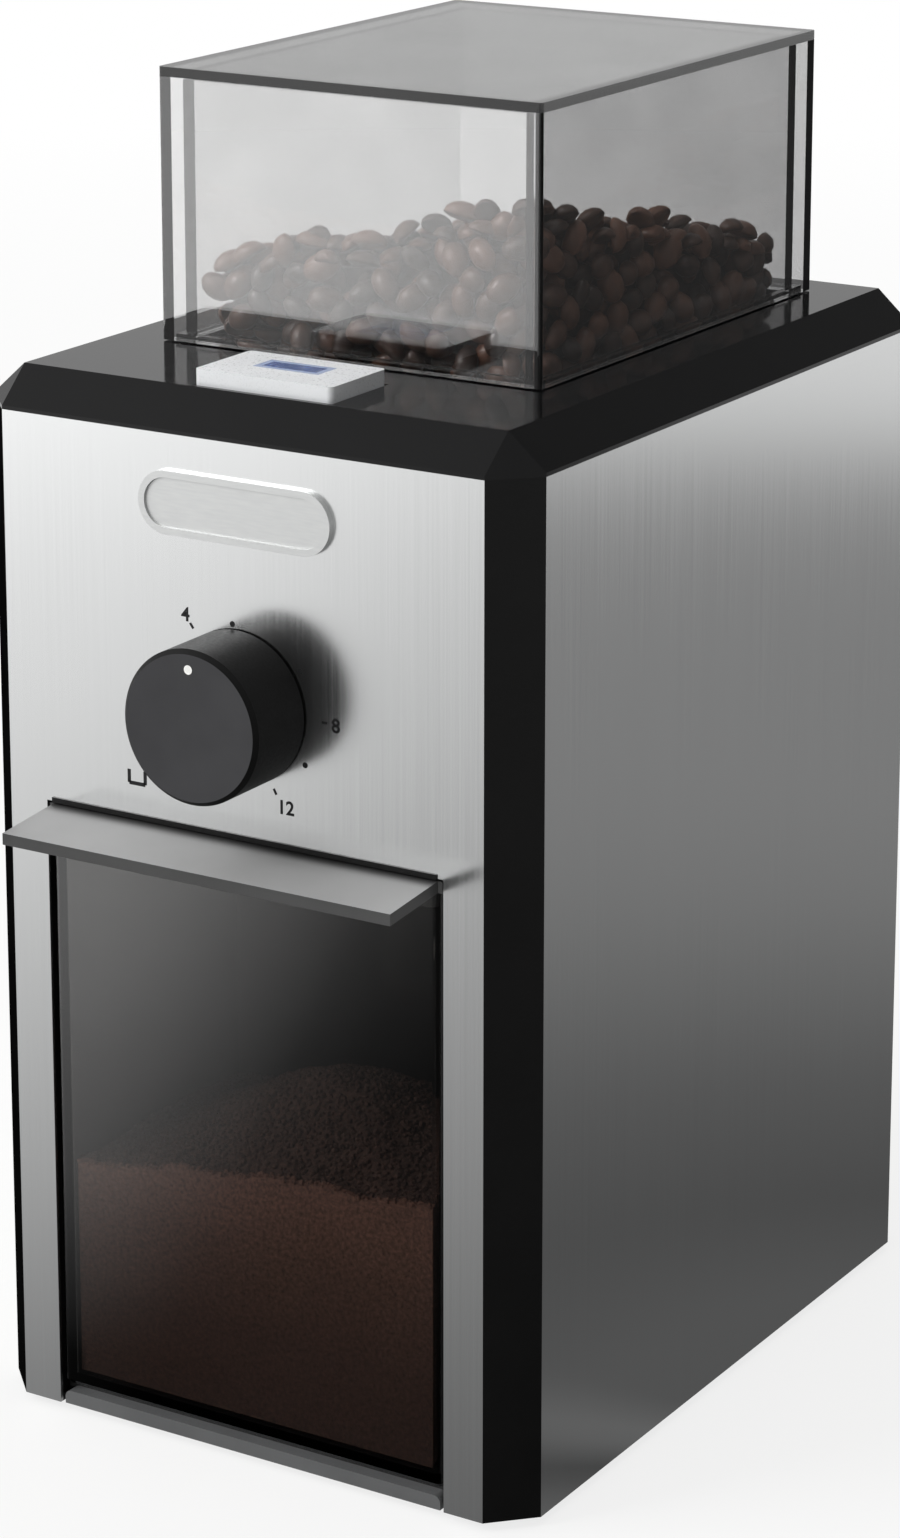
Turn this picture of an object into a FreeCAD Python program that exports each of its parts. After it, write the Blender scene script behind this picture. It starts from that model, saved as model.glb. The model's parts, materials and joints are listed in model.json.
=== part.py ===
import FreeCAD, Part
import math
import os

# Burr coffee grinder, a box-shaped kitchen appliance. Millimetres, +Z up, front faces -Y.
# Everything is drawn with y = 0 on the front steel sheet and moved back as it is saved,
# so that the origin ends up under the middle of the whole object.

Vector = FreeCAD.Vector

# ---- Driving dimensions ----
# Body
body_width = 130.0
body_depth = 174.0
works_height = 79.0
corner_chamfer = 8.5
foot_height = 2.0
wall = 2.5
steel = 0.8
inner_corner_gap = 0.1
base_thickness = 2.5

# Top cover
cover_lip = 0.8
cover_rise = 7.2
cover_bevel = 8.2
cover_wall = 2.5
cover_bevel_wall = 1.0
skirt_height = 6.0
skirt_wall = 2.0

# Feet and screw holes
foot_radius = 6.0
foot_inset = 17.0
boss_radius = 4.2
boss_height = 22.0
screw_shank = 1.5
screw_head = 3.0
screw_head_height = 1.6
screw_length = 14.0
foot_rim = 0.5
base_slots = 6
screw_clearance = 0.05
base_screw_inset = 11.5
base_screw_clearance = 8.0
base_screw_back = 30.0

# Rear cover
rear_plate_thickness = 1.6
rear_rim = 8.0
rear_side_margin = 9.5
rear_low_margin = 4.0
rear_high_margin = 1.5
vent_count = 9
vent_width = 62.0
vent_height = 2.6
vent_pitch = 6.4
vent_start = 58.0
gland_bore = 3.6
gland_radius = 6.5
gland_flange = 9.0
gland_height = 26.0
gland_length = 12.0

# Badge plate, left plain
badge_length = 45.0
badge_height = 13.0
badge_thickness = 1.2
badge_rim = 1.4
badge_sink = 0.5
badge_drop = 13.7

# Grounds container and its bay
container_width = 94.0
container_depth = 65.7
container_height = 126.0
container_wall = 2.5
container_corner = 2.0
container_foot_bevel = 1.2
container_clearance = 0.4
container_set_back = 0.3
lid_thickness = 2.4
lid_skirt = 4.0
lid_skirt_wall = 1.4
lid_skirt_gap = 0.2
lip_reach = 17.0
lip_drop = 1.5
lip_side_inset = 1.0
roof_gap = 0.6
liner_wall = 1.6
rear_gap = 3.0
trim_height = 3.0
trim_corner = 1.5
trim_end_gap = 1.0
floor_clearance = 0.3

# Knob and timer
knob_radius = 15.8
knob_reach = 17.0
knob_gap = 0.5
knob_edge = 0.9
knob_drop = 53.3
knob_wall = 2.0
shaft_radius = 3.0
shaft_flat = 2.3
shaft_depth = 9.0
shaft_clearance = 0.06
hub_radius = 5.2
timer_width = 44.0
timer_depth = 24.0
timer_boss_radius = 6.5
timer_boss_height = 1.6

# Start button
button_width = 32.4
button_depth = 19.8
button_front = 9.6
button_height = 3.2
button_sunk = 1.5
button_travel = 2.0
button_floor_gap = 0.2
button_gap = 0.3
button_wall = 1.5
button_corner = 1.2
stem_radius = 3.0
stem_length = 15.0
stem_clearance = 0.08
well_wall = 1.6
well_floor = 2.0
lens_width = 15.5
lens_depth = 7.0
lens_thickness = 0.8
lens_setback = 8.0
spring_radius = 4.6
spring_wire = 0.6
spring_turns = 3.0
switch_width = 20.0
switch_depth = 10.0
switch_height = 12.0
switch_gap = 0.3
switch_rib = 1.8

# Hopper and hood
hood_width = 90.5
hood_depth = 116.0
hood_height = 57.0
hood_wall = 2.2
hood_top_thickness = 2.0
hood_seat_gap = 0.3
hood_corner = 0.8
hopper_gap = 1.8
hopper_wall = 2.0
hopper_flange = 1.5
hopper_flange_thickness = 1.2
hopper_top_gap = 0.8
hopper_clearance = 0.5
hopper_outlet = 56.0
hopper_drop = 24.0
outlet_clearance = 0.5

# Burrs and grinding chamber
burr_radius = 22.0
burr_set_back = 31.9
burr_thickness = 6.0
lower_burr_bore = 9.0
upper_burr_bore = 11.0
burr_gap = 0.9
burr_adjust = 0.6
coarse_groove_count = 12
fine_groove_count = 36
coarse_groove_width = 3.0
coarse_groove_depth = 1.8
fine_groove_width = 1.3
fine_groove_depth = 0.7
fine_ring = 15.5
groove_lead = 4.0
spindle_radius = 4.0
spindle_clearance = 0.05
fit_gap = 0.02
nut_radius = 6.5
nut_height = 3.0
carrier_thickness = 3.0
carrier_radius = 24.0
paddle_count = 6
paddle_height = 2.0
paddle_width = 2.5
paddle_floor_gap = 1.0
paddle_start = 8.0
paddle_overhang = 1.0
chamber_bore = 26.5
chamber_wall = 2.5
chamber_floor = 2.0
chamber_flange_thickness = 2.0
upper_carrier_thickness = 4.1
upper_carrier_gap = 0.3
throat_wall = 3.0
throat_height = 5.0
ring_gap = 0.3
ring_flange = 3.0
ring_base_radius = 31.0
ring_collar_radius = 26.5
ring_collar_wall = 2.0
ring_collar_height = 16.0
ring_throat = 16.0
ring_grip_count = 8
ring_grip_width = 2.0
ring_grip_depth = 2.2
ring_grip_root = 0.5
retainer_wall = 2.2
retainer_lap = 2.6
retainer_thickness = 1.6

# Gear train
gear_module = 0.9
gear_dedendum = 1.25
gear_teeth = 36
pinion_teeth = 12
pressure_angle = 25.0
backlash = 0.2
flank_count = 2
gear_width = 7.0
gear_end_gap = 1.3
gear_web = 3.0
gear_rim = 2.6
gear_hub = 8.0
gearbox_plate_thickness = 3.0
gearbox_wall = 2.0
gearbox_air = 3.4
gearbox_top_gap = 1.3
mechanism_drop = 68.0
plate_overhang = 21.0
ledge_depth = 3.7
ledge_height = 3.0
bush_flange = 2.0
bush_wall = 2.0
bush_flange_thickness = 1.0
spindle_end_gap = 0.3

# Motor
motor_radius = 26.0
motor_length = 58.0
motor_shell = 2.0
stator_bore = 17.0
stator_height = 34.0
rotor_air = 0.5
rotor_slots = 12
rotor_slot_width = 1.4
rotor_slot_depth = 5.0
motor_shaft_radius = 2.5
motor_bearing_radius = 7.0
motor_bearing_height = 5.0
fan_radius = 22.0
fan_hub = 6.0
fan_height = 9.0
fan_blades = 9
fan_blade = 1.4
fan_gap = 2.5
fan_plate = 1.4
fan_blade_tilt = 20.0
fan_rim_gap = 1.0
shaft_tail = 2.0
motor_vents = 4
motor_vent_width = 9.0
motor_vent_height = 12.0

# Chute
chute_half_width = 10.0
chute_wall = 1.6
chute_window = 11.0
chute_slope = 9.0
chute_mouth = 14.0

# Safety switch
plunger_radius = 2.2
plunger_clearance = 0.08
plunger_gap = 0.3
plunger_travel = 2.0
plunger_length = 11.0
plunger_level = 96.0
plunger_inset = 21.4
safety_width = 20.0
safety_depth = 14.0
safety_height = 12.0

# Terminal block
terminal_width = 30.0
terminal_depth = 14.0
terminal_height = 12.0
terminal_poles = 3
terminal_slot = 5.0
terminal_from_back = 30.0

# ---- Worked out from the above ----
half_width = body_width / 2
shell_inset = steel + wall
base_z = foot_height

# The container sets the height of its bay, and the works stand on the bay's roof.
base_top = base_z + base_thickness
liner_floor = base_top + liner_wall
container_z = liner_floor + floor_clearance
lid_top = container_z + container_height + lid_thickness
bay_top = lid_top + roof_gap
roof_top = bay_top + liner_wall
bay_half = container_width / 2 + container_clearance
plunger_x = bay_half - plunger_inset
container_back = container_set_back + container_depth
bay_back = container_back + rear_gap
liner_back = bay_back + liner_wall

shell_top = roof_top + works_height
cover_edge = shell_top + cover_lip
cover_top = cover_edge + cover_rise
cover_under = cover_top - cover_wall
knob_level = shell_top - knob_drop
badge_level = shell_top - badge_drop
plate_level = shell_top - mechanism_drop

burr_y = container_back + burr_set_back
centre_distance = gear_module * (gear_teeth + pinion_teeth) / 2
motor_y = burr_y + centre_distance
plate_top = plate_level + gearbox_plate_thickness
gear_z = plate_top + gear_end_gap
gearbox_top = gear_z + gear_width + gearbox_top_gap + gearbox_wall
chamber_z = gearbox_top
chamber_in = chamber_z + chamber_floor
carrier_z = chamber_in + paddle_floor_gap + paddle_height
lower_burr_z = carrier_z + carrier_thickness
lower_burr_top = lower_burr_z + burr_thickness
upper_burr_z = lower_burr_top + burr_gap
upper_carrier_z = upper_burr_z + burr_thickness
upper_carrier_top = upper_carrier_z + upper_carrier_thickness
chamber_top = upper_carrier_top + upper_carrier_gap + burr_adjust
retainer_outer = ring_base_radius + ring_gap + retainer_wall
ring_z = chamber_top + ring_gap
ring_top = ring_z + ring_flange + ring_collar_height

hood_seat = cover_top + hood_seat_gap
hood_top = cover_top + hood_height
hood_front = burr_y - hood_depth / 2
hood_back = hood_front + hood_depth
hopper_half = hood_width / 2 - hood_wall - hopper_gap
hopper_front = hood_front + hood_wall + hopper_gap
hopper_back = hood_back - hood_wall - hopper_gap
hopper_rim = hood_top - hood_top_thickness - hopper_top_gap
funnel_top = cover_under
funnel_bottom = cover_top - hopper_drop

motor_z = plate_level - motor_length
fan_z = motor_z - fan_gap - fan_height

front_reach = max(knob_reach, lip_reach)
front_y = front_reach - (body_depth + front_reach) / 2


# ---- Helpers ----
def box(x0, x1, y0, y1, z0, z1):
    return Part.makeBox(x1 - x0, y1 - y0, z1 - z0, Vector(x0, y0, z0))


def wide_box(half, y0, y1, z0, z1):
    return box(-half, half, y0, y1, z0, z1)


def cylinder(radius, z0, z1, y=0.0, x=0.0):
    return Part.makeCylinder(radius, z1 - z0, Vector(x, y, z0))


def tube(inner, outer, z0, z1, y=0.0, x=0.0):
    return cylinder(outer, z0, z1, y, x).cut(cylinder(inner, z0, z1, y, x))


def rod_y(radius, y0, y1, x, z):
    return Part.makeCylinder(radius, y1 - y0, Vector(x, y0, z), Vector(0, 1, 0))


def prism(points, z0, z1):
    wire = Part.makePolygon([Vector(x, y, z0) for x, y in points + points[:1]])
    return Part.Face(wire).extrude(Vector(0, 0, z1 - z0))


def profile_x(points, half):
    # A (y, z) outline, extruded across the width.
    wire = Part.makePolygon([Vector(-half, y, z) for y, z in points + points[:1]])
    return Part.Face(wire).extrude(Vector(2 * half, 0, 0))


def join(first, others):
    return first.fuse(others).removeSplitter()


def turned(shape, degrees, y):
    copy = shape.copy()
    copy.rotate(Vector(0, y, 0), Vector(0, 0, 1), degrees)
    return copy


def vertical_edges(shape, length):
    found = []
    for edge in shape.Edges:
        ends = [vertex.Point for vertex in edge.Vertexes]
        if len(ends) == 2 and abs(abs(ends[0].z - ends[1].z) - length) < 1e-6 and edge.Length < length + 1e-6:
            found.append(edge)
    return found


def rounded_box(half, y0, y1, z0, z1, radius):
    block = wide_box(half, y0, y1, z0, z1)
    return block.makeFillet(radius, vertical_edges(block, z1 - z0))


def save(name, shape):
    shape = shape.copy()
    shape.translate(Vector(0, front_y, 0))
    shape.exportStep("parts/" + name + ".step")


# ---- Casing ----
def outline(inset):
    half = half_width - inset
    leg = corner_chamfer - inset * (2 - math.sqrt(2))
    front = inset
    back = body_depth - inset
    return [(leg - half, front), (half - leg, front), (half, front + leg), (half, back - leg),
            (half - leg, back), (leg - half, back), (-half, back - leg), (-half, front + leg)]


def base_screw_places():
    # The front pair stands behind the container's bay.
    x = half_width - base_screw_inset
    front = liner_back + base_screw_clearance
    back = body_depth - base_screw_back
    return [(x, front), (-x, front), (x, back), (-x, back)]


def rear_screw_places():
    x = rear_half() - rear_rim / 2
    low = rear_low() + rear_rim / 2
    high = rear_high() - rear_rim / 2
    return [(x, low), (-x, low), (x, high), (-x, high)]


def rear_half():
    return half_width - rear_side_margin


def rear_low():
    return base_z + rear_low_margin


def rear_high():
    return shell_top - skirt_height - rear_high_margin


def body_shell():
    hollow = prism(outline(shell_inset), base_z, shell_top)
    shell = prism(outline(0), base_z, shell_top).cut(hollow)
    side_start = corner_chamfer
    side_end = body_depth - corner_chamfer
    cuts = [box(half_width - steel, half_width, side_start, side_end, base_z, shell_top),
            box(-half_width, steel - half_width, side_start, side_end, base_z, shell_top),
            wide_box(half_width - corner_chamfer, 0, steel, base_z, shell_top),
            wide_box(bay_half, 0, shell_inset, base_z, bay_top),
            wide_box(rear_half(), body_depth - rear_plate_thickness, body_depth, rear_low(), rear_high()),
            wide_box(rear_half() - rear_rim, body_depth - shell_inset, body_depth,
                     rear_low() + rear_rim, rear_high() - rear_rim),
            rod_y(timer_boss_radius + screw_clearance, 0, shell_inset, 0, knob_level)]
    shell = shell.cut(cuts)
    ledge_front = burr_y - plate_overhang
    ledge_back = motor_y + plate_overhang
    inner = half_width - shell_inset
    ledge_z = plate_level - ledge_height
    posts = [box(inner - ledge_depth, inner, ledge_front, ledge_back, ledge_z, plate_level),
             box(-inner, ledge_depth - inner, ledge_front, ledge_back, ledge_z, plate_level)]
    for x, y in base_screw_places():
        outer = math.copysign(inner, x)
        block = box(min(x, outer), max(x, outer), y - boss_radius, y + boss_radius,
                    base_top, base_top + boss_height)
        posts.append(block.fuse(cylinder(boss_radius, base_top, base_top + boss_height, y, x)))
    shell = join(shell, posts)
    holes = []
    for x, y in base_screw_places():
        holes.append(cylinder(screw_shank + screw_clearance, base_top, base_top + screw_length, y, x))
    for x, z in rear_screw_places():
        holes.append(rod_y(screw_shank + screw_clearance, body_depth - shell_inset, body_depth, x, z))
    return shell.cut(holes)


def front_panel():
    sheet = wide_box(half_width - corner_chamfer, 0, steel, base_z, shell_top)
    mouth = wide_box(bay_half, 0, steel, base_z, bay_top)
    return sheet.cut([mouth, rod_y(timer_boss_radius + screw_clearance, 0, steel, 0, knob_level)])


def side_panel(side):
    x = half_width - steel if side > 0 else -half_width
    return box(x, x + steel, corner_chamfer, body_depth - corner_chamfer, base_z, shell_top)


def base_plate():
    plate = prism(outline(shell_inset + inner_corner_gap), base_z, base_top)
    cuts = []
    for x, y in base_screw_places():
        cuts.append(cylinder(screw_shank + screw_clearance, base_z, base_top, y, x))
        cuts.append(cylinder(screw_head + screw_clearance, base_z, base_z + screw_head_height, y, x))
    slot_pitch = 2 * vent_height
    for index in range(base_slots):
        y = motor_y + (index - (base_slots - 1) / 2) * slot_pitch
        cuts.append(wide_box(motor_radius, y, y + vent_height, base_z, base_top))
    return plate.cut(cuts)


def base_trim():
    half = bay_half - trim_end_gap
    top = base_z + trim_height
    strip = wide_box(half, container_set_back, shell_inset, base_z, top)
    ends = [edge for edge in strip.Edges
            if edge.BoundBox.ZMin > top - 1e-3 and edge.BoundBox.XLength < 1e-3]
    return strip.makeFillet(trim_corner, ends)


def rubber_feet():
    x = half_width - foot_inset
    feet = []
    for y in (foot_inset, body_depth - foot_inset):
        for side in (-x, x):
            foot = cylinder(foot_radius, 0, foot_height, y, side)
            feet.append(foot.makeChamfer(foot_rim, [edge for edge in foot.Edges if edge.BoundBox.ZMax < foot_rim]))
    return Part.makeCompound(feet)


def rear_cover():
    gap = inner_corner_gap
    back = body_depth
    face = back - rear_plate_thickness
    plate = wide_box(rear_half() - gap, face, back, rear_low() + gap, rear_high() - gap)
    spigot = wide_box(rear_half() - rear_rim - gap, back - shell_inset, face,
                      rear_low() + rear_rim + gap, rear_high() - rear_rim - gap)
    hollow = wide_box(rear_half() - rear_rim - gap - wall, back - shell_inset, face,
                      rear_low() + rear_rim + gap + wall, rear_high() - rear_rim - gap - wall)
    cover = join(plate, [spigot.cut(hollow)])
    gland_seat = rod_y(gland_flange, back - shell_inset, face, 0, gland_height)
    cover = join(cover, [gland_seat])
    cuts = [rod_y(gland_radius + fit_gap, back - shell_inset, back, 0, gland_height)]
    for index in range(vent_count):
        z = vent_start + index * vent_pitch
        cuts.append(wide_box(vent_width / 2, face, back, z, z + vent_height))
    for x, z in rear_screw_places():
        cuts.append(rod_y(screw_shank + screw_clearance, face, back, x, z))
        cuts.append(rod_y(screw_head + screw_clearance, back - screw_head_height, back, x, z))
    return cover.cut(cuts)


def cable_gland():
    back = body_depth
    body = rod_y(gland_radius, back - gland_length, back, 0, gland_height)
    flange = rod_y(gland_flange, back - shell_inset - wall, back - shell_inset, 0, gland_height)
    bore = rod_y(gland_bore, back - gland_length, back, 0, gland_height)
    return join(body, [flange]).cut(bore)


def bevelled_block(inset, top_inset, z0, z1):
    # Chamfered outline below, plain rectangle above: four bevels and four corner triangles.
    low = [Vector(x, y, z0) for x, y in outline(inset)]
    half = half_width - top_inset
    back = body_depth - top_inset
    top = [Vector(-half, top_inset, z1), Vector(half, top_inset, z1), Vector(half, back, z1), Vector(-half, back, z1)]
    rings = [low, top]
    for side in range(4):
        start = low[2 * side]
        end = low[2 * side + 1]
        after = low[(2 * side + 2) % 8]
        rings.append([start, end, top[(side + 1) % 4], top[side]])
        rings.append([end, after, top[(side + 1) % 4]])
    faces = [Part.Face(Part.makePolygon(ring + ring[:1])) for ring in rings]
    return Part.Solid(Part.Shell(faces))


def button_well():
    half = button_width / 2 + button_gap
    front = button_front - button_gap
    back = button_front + button_depth + button_gap
    floor = cover_top - button_sunk - button_travel - button_floor_gap
    block = wide_box(half + well_wall, front - well_wall, back + well_wall, floor - well_floor, cover_under)
    pocket = wide_box(half, front, back, floor, cover_top)
    return block, pocket, floor


def top_cover():
    cap = bevelled_block(0, cover_bevel, cover_edge, cover_top)
    cap = join(cap, [prism(outline(0), shell_top, cover_edge)])
    hollow = bevelled_block(shell_inset, cover_bevel + cover_bevel_wall, shell_top, cover_under)
    cap = cap.cut(hollow)
    skirt_outer = prism(outline(shell_inset + inner_corner_gap), shell_top - skirt_height, shell_top + cover_lip)
    skirt_inner = prism(outline(shell_inset + inner_corner_gap + skirt_wall), shell_top - skirt_height,
                        shell_top + cover_lip)
    block, pocket, floor = button_well()
    middle = button_front + button_depth / 2
    switch_top = floor - well_floor
    rib_half = switch_width / 2
    ribs = [box(rib_half, rib_half + switch_rib, middle - switch_depth / 2, middle + switch_depth / 2,
                switch_level(), switch_top),
            box(-rib_half - switch_rib, -rib_half, middle - switch_depth / 2, middle + switch_depth / 2,
                switch_level(), switch_top)]
    cap = join(cap, [skirt_outer.cut(skirt_inner), block] + ribs)
    hopper_hole = wide_box(hopper_half + hopper_clearance, hopper_front - hopper_clearance,
                           hopper_back + hopper_clearance, cover_under, cover_top)
    stem_hole = cylinder(stem_radius + stem_clearance, switch_top, floor, middle)
    return cap.cut([pocket, hopper_hole, stem_hole])


def pill(length, height, y0, y1, level):
    radius = height / 2
    middle = length / 2 - radius
    bar = box(-middle, middle, y0, y1, level - radius, level + radius)
    return join(bar, [rod_y(radius, y0, y1, -middle, level), rod_y(radius, y0, y1, middle, level)])


def badge_plate():
    plate = pill(badge_length, badge_height, -badge_thickness, 0, badge_level)
    sink = pill(badge_length - 2 * badge_rim, badge_height - 2 * badge_rim,
                -badge_thickness, badge_sink - badge_thickness, badge_level)
    return plate.cut(sink)


# ---- Container and bay ----
def inlet_front():
    return container_back - container_wall - chute_mouth - chute_wall


def container_bay():
    half = bay_half + liner_wall
    liner = wide_box(half, shell_inset, liner_back, base_top, roof_top)
    inner = wide_box(bay_half, shell_inset, bay_back, liner_floor, bay_top)
    hole = wide_box(chute_half_width, inlet_front(), inlet_front() + chute_mouth, bay_top, roof_top)
    plunger = rod_y(plunger_radius + plunger_clearance, bay_back, liner_back, plunger_x, plunger_level)
    return liner.cut([inner, hole, plunger])


def grounds_container():
    half = container_width / 2
    top = container_z + container_height
    outer = rounded_box(half, container_set_back, container_back, container_z, top, container_corner)
    foot = [edge for edge in outer.Edges if edge.BoundBox.ZMax < container_z + 1e-3]
    outer = outer.makeChamfer(container_foot_bevel, foot)
    inner = rounded_box(half - container_wall, container_set_back + container_wall,
                        container_back - container_wall, container_z + container_wall, top,
                        container_corner - container_wall / 2)
    return outer.cut(inner)


def container_lid():
    front = container_set_back
    bottom = lid_top - lid_thickness
    half = container_width / 2
    plate = profile_x([(front, bottom), (container_back, bottom), (container_back, lid_top), (front, lid_top)], half)
    lip = profile_x([(front, bottom), (front, lid_top), (-lip_reach, lid_top - lip_drop),
                     (-lip_reach, lid_top - lip_drop - lid_thickness)], half - lip_side_inset)
    inset = container_wall + lid_skirt_gap
    skirt = rounded_box(half - inset, front + inset, container_back - inset, bottom - lid_skirt, bottom,
                        container_corner)
    core = wide_box(half - inset - lid_skirt_wall, front + inset + lid_skirt_wall,
                    container_back - inset - lid_skirt_wall, bottom - lid_skirt, bottom)
    inlet = wide_box(chute_half_width + chute_wall, inlet_front() - chute_wall,
                     container_back - inset - lid_skirt_wall, bottom, lid_top)
    return join(plate, [lip, skirt.cut(core)]).cut(inlet)


# ---- Knob and timer ----
def timer_knob():
    back = -knob_gap
    face = rod_y(knob_radius, -knob_reach, back, 0, knob_level)
    front_edges = [edge for edge in face.Edges if edge.BoundBox.YMax < back - 1e-3 and edge.Closed
                   and edge.BoundBox.YLength < 1e-3]
    face = face.makeChamfer(knob_edge, front_edges)
    hollow = rod_y(knob_radius - knob_wall, knob_wall * 2 - knob_reach, back, 0, knob_level)
    hub = rod_y(hub_radius, knob_wall * 2 - knob_reach, back, 0, knob_level)
    socket = knob_shaft_blank(shaft_clearance)
    return face.cut(hollow).fuse(hub).removeSplitter().cut(socket)


def knob_shaft_blank(clearance):
    tip = knob_wall * 3 - knob_reach - clearance
    back = shell_inset + shaft_depth
    rod = rod_y(shaft_radius + clearance, tip, back, 0, knob_level)
    flat = box(-2 * shaft_radius, 2 * shaft_radius, tip, -knob_gap + clearance,
               knob_level + shaft_flat + clearance, knob_level + 2 * shaft_radius)
    return rod.cut(flat)


def knob_shaft():
    return knob_shaft_blank(0)


def timer_unit():
    half = timer_width / 2
    body = wide_box(half, shell_inset, shell_inset + timer_depth, knob_level - half, knob_level + half)
    boss = rod_y(timer_boss_radius, steel - timer_boss_height + steel, shell_inset, 0, knob_level)
    bore = rod_y(shaft_radius + shaft_clearance, -wall, shell_inset + shaft_depth + shaft_clearance, 0, knob_level)
    return join(body, [boss]).cut(bore)


# ---- Start button ----
def button_bottom():
    return cover_top - button_sunk


def button_top():
    return cover_top + button_height


def switch_level():
    stem_end = button_bottom() - stem_length
    return stem_end - button_travel - switch_gap - switch_height


def lens_front():
    return button_front + lens_setback


def start_button():
    back = button_front + button_depth
    half = button_width / 2
    middle = (button_front + back) / 2
    cap = rounded_box(half, button_front, back, button_bottom(), button_top(), button_corner)
    hollow = wide_box(half - button_wall, button_front + button_wall, back - button_wall,
                      button_bottom(), button_top() - button_wall)
    stem = cylinder(stem_radius, button_bottom() - stem_length, button_top() - button_wall, middle)
    seat = wide_box(lens_width / 2, lens_front(), lens_front() + lens_depth, button_top() - lens_thickness,
                    button_top())
    return join(cap.cut(hollow), [stem]).cut(seat)


def button_lens():
    gap = fit_gap
    return wide_box(lens_width / 2 - gap, lens_front() + gap, lens_front() + lens_depth - gap,
                    button_top() - lens_thickness, button_top())


def button_spring():
    block, pocket, floor = button_well()
    middle = button_front + button_depth / 2
    low = floor + spring_wire / 2 + fit_gap
    high = button_top() - button_wall - spring_wire / 2 - fit_gap
    return coil(spring_radius, spring_wire, spring_turns, low, high, middle)


def coil(radius, wire, turns, z0, z1, y):
    # Square wire on a helix, drawn as flat facets so that it stays light.
    steps = 12
    count = round(turns * steps)
    rings = []
    for index in range(count + 1):
        angle = 2 * math.pi * index / steps
        z = z0 + (z1 - z0) * index / count
        ring = []
        for across, up in ((-wire, -wire), (wire, -wire), (wire, wire), (-wire, wire)):
            reach = radius + across / 2
            ring.append(Vector(reach * math.cos(angle), y + reach * math.sin(angle), z + up / 2))
        rings.append(ring)
    faces = [Part.Face(Part.makePolygon(ring + ring[:1])) for ring in (rings[0], rings[-1])]
    for this, after in zip(rings, rings[1:]):
        for side in range(4):
            other = (side + 1) % 4
            for corners in ((this[side], this[other], after[other]), (this[side], after[other], after[side])):
                faces.append(Part.Face(Part.makePolygon(list(corners) + [corners[0]])))
    solid = Part.Solid(Part.makeShell(faces))
    return solid if solid.Volume > 0 else solid.reversed()


def start_switch():
    middle = button_front + button_depth / 2
    low = switch_level()
    return wide_box(switch_width / 2, middle - switch_depth / 2, middle + switch_depth / 2, low, low + switch_height)


# ---- Hopper and hood ----
def frustum(half_low, half_high, front_high, back_high, z0, z1):
    low = [Vector(-half_low, burr_y - half_low, z0), Vector(half_low, burr_y - half_low, z0),
           Vector(half_low, burr_y + half_low, z0), Vector(-half_low, burr_y + half_low, z0)]
    high = [Vector(-half_high, front_high, z1), Vector(half_high, front_high, z1),
            Vector(half_high, back_high, z1), Vector(-half_high, back_high, z1)]
    rings = [low, high] + [[low[side], low[(side + 1) % 4], high[(side + 1) % 4], high[side]] for side in range(4)]
    return Part.Solid(Part.Shell([Part.Face(Part.makePolygon(ring + ring[:1])) for ring in rings]))


def bean_hopper():
    outlet = hopper_outlet / 2
    outer = join(wide_box(hopper_half, hopper_front, hopper_back, funnel_top, hopper_rim),
                 [frustum(outlet, hopper_half, hopper_front, hopper_back, funnel_bottom, funnel_top)])
    inner_half = hopper_half - hopper_wall
    inner_front = hopper_front + hopper_wall
    inner_back = hopper_back - hopper_wall
    inner = join(wide_box(inner_half, inner_front, inner_back, funnel_top + hopper_wall, hopper_rim),
                 [frustum(outlet - hopper_wall / 2, inner_half, inner_front, inner_back,
                          funnel_bottom + hopper_wall, funnel_top + hopper_wall)])
    flange = wide_box(hopper_half + hopper_flange, hopper_front - hopper_flange, hopper_back + hopper_flange,
                      hood_seat, hood_seat + hopper_flange_thickness)
    outlet_hole = cylinder(ring_collar_radius + outlet_clearance, funnel_bottom, funnel_bottom + hopper_wall, burr_y)
    return join(outer, [flange]).cut([inner, outlet_hole])


def hood_walls():
    half = hood_width / 2
    top = hood_top - hood_top_thickness
    outer = rounded_box(half, hood_front, hood_back, hood_seat, top, hood_corner)
    return outer.cut(wide_box(half - hood_wall, hood_front + hood_wall, hood_back - hood_wall, hood_seat, top))


def hood_plate():
    half = hood_width / 2
    return rounded_box(half, hood_front, hood_back, hood_top - hood_top_thickness, hood_top, hood_corner)


# ---- Burrs and chamber ----
def groove(width, depth, start, z, upward):
    # A V groove that runs outwards at a slant, one edge of it upright.
    tip = z - depth if upward else z + depth
    length = burr_radius + width
    slant = math.degrees(math.atan2(groove_lead, burr_radius))
    wire = Part.makePolygon([Vector(0, start, z), Vector(width, start, z), Vector(0, start, tip), Vector(0, start, z)])
    cutter = Part.Face(wire).extrude(Vector(0, length, 0))
    cutter.rotate(Vector(0, 0, 0), Vector(0, 0, 1), -slant)
    cutter.translate(Vector(groove_lead / 2 - width, 0, 0))
    cutter.translate(Vector(0, burr_y, 0))
    return cutter


def burr(bore, z0, face, upward):
    z1 = z0 + burr_thickness
    ring = tube(bore, burr_radius, z0, z1, burr_y)
    cutters = []
    for count, width, depth, start in ((coarse_groove_count, coarse_groove_width, coarse_groove_depth, 0.0),
                                       (fine_groove_count, fine_groove_width, fine_groove_depth, fine_ring)):
        one = groove(width, depth, start, face, upward)
        cutters += [turned(one, 360.0 * index / count, burr_y) for index in range(count)]
    for cutter in cutters:
        ring = ring.cut(cutter)
    return ring


def lower_burr():
    return burr(lower_burr_bore, lower_burr_z, lower_burr_top, True)


def upper_burr():
    return burr(upper_burr_bore, upper_burr_z, upper_burr_z, False)


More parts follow.
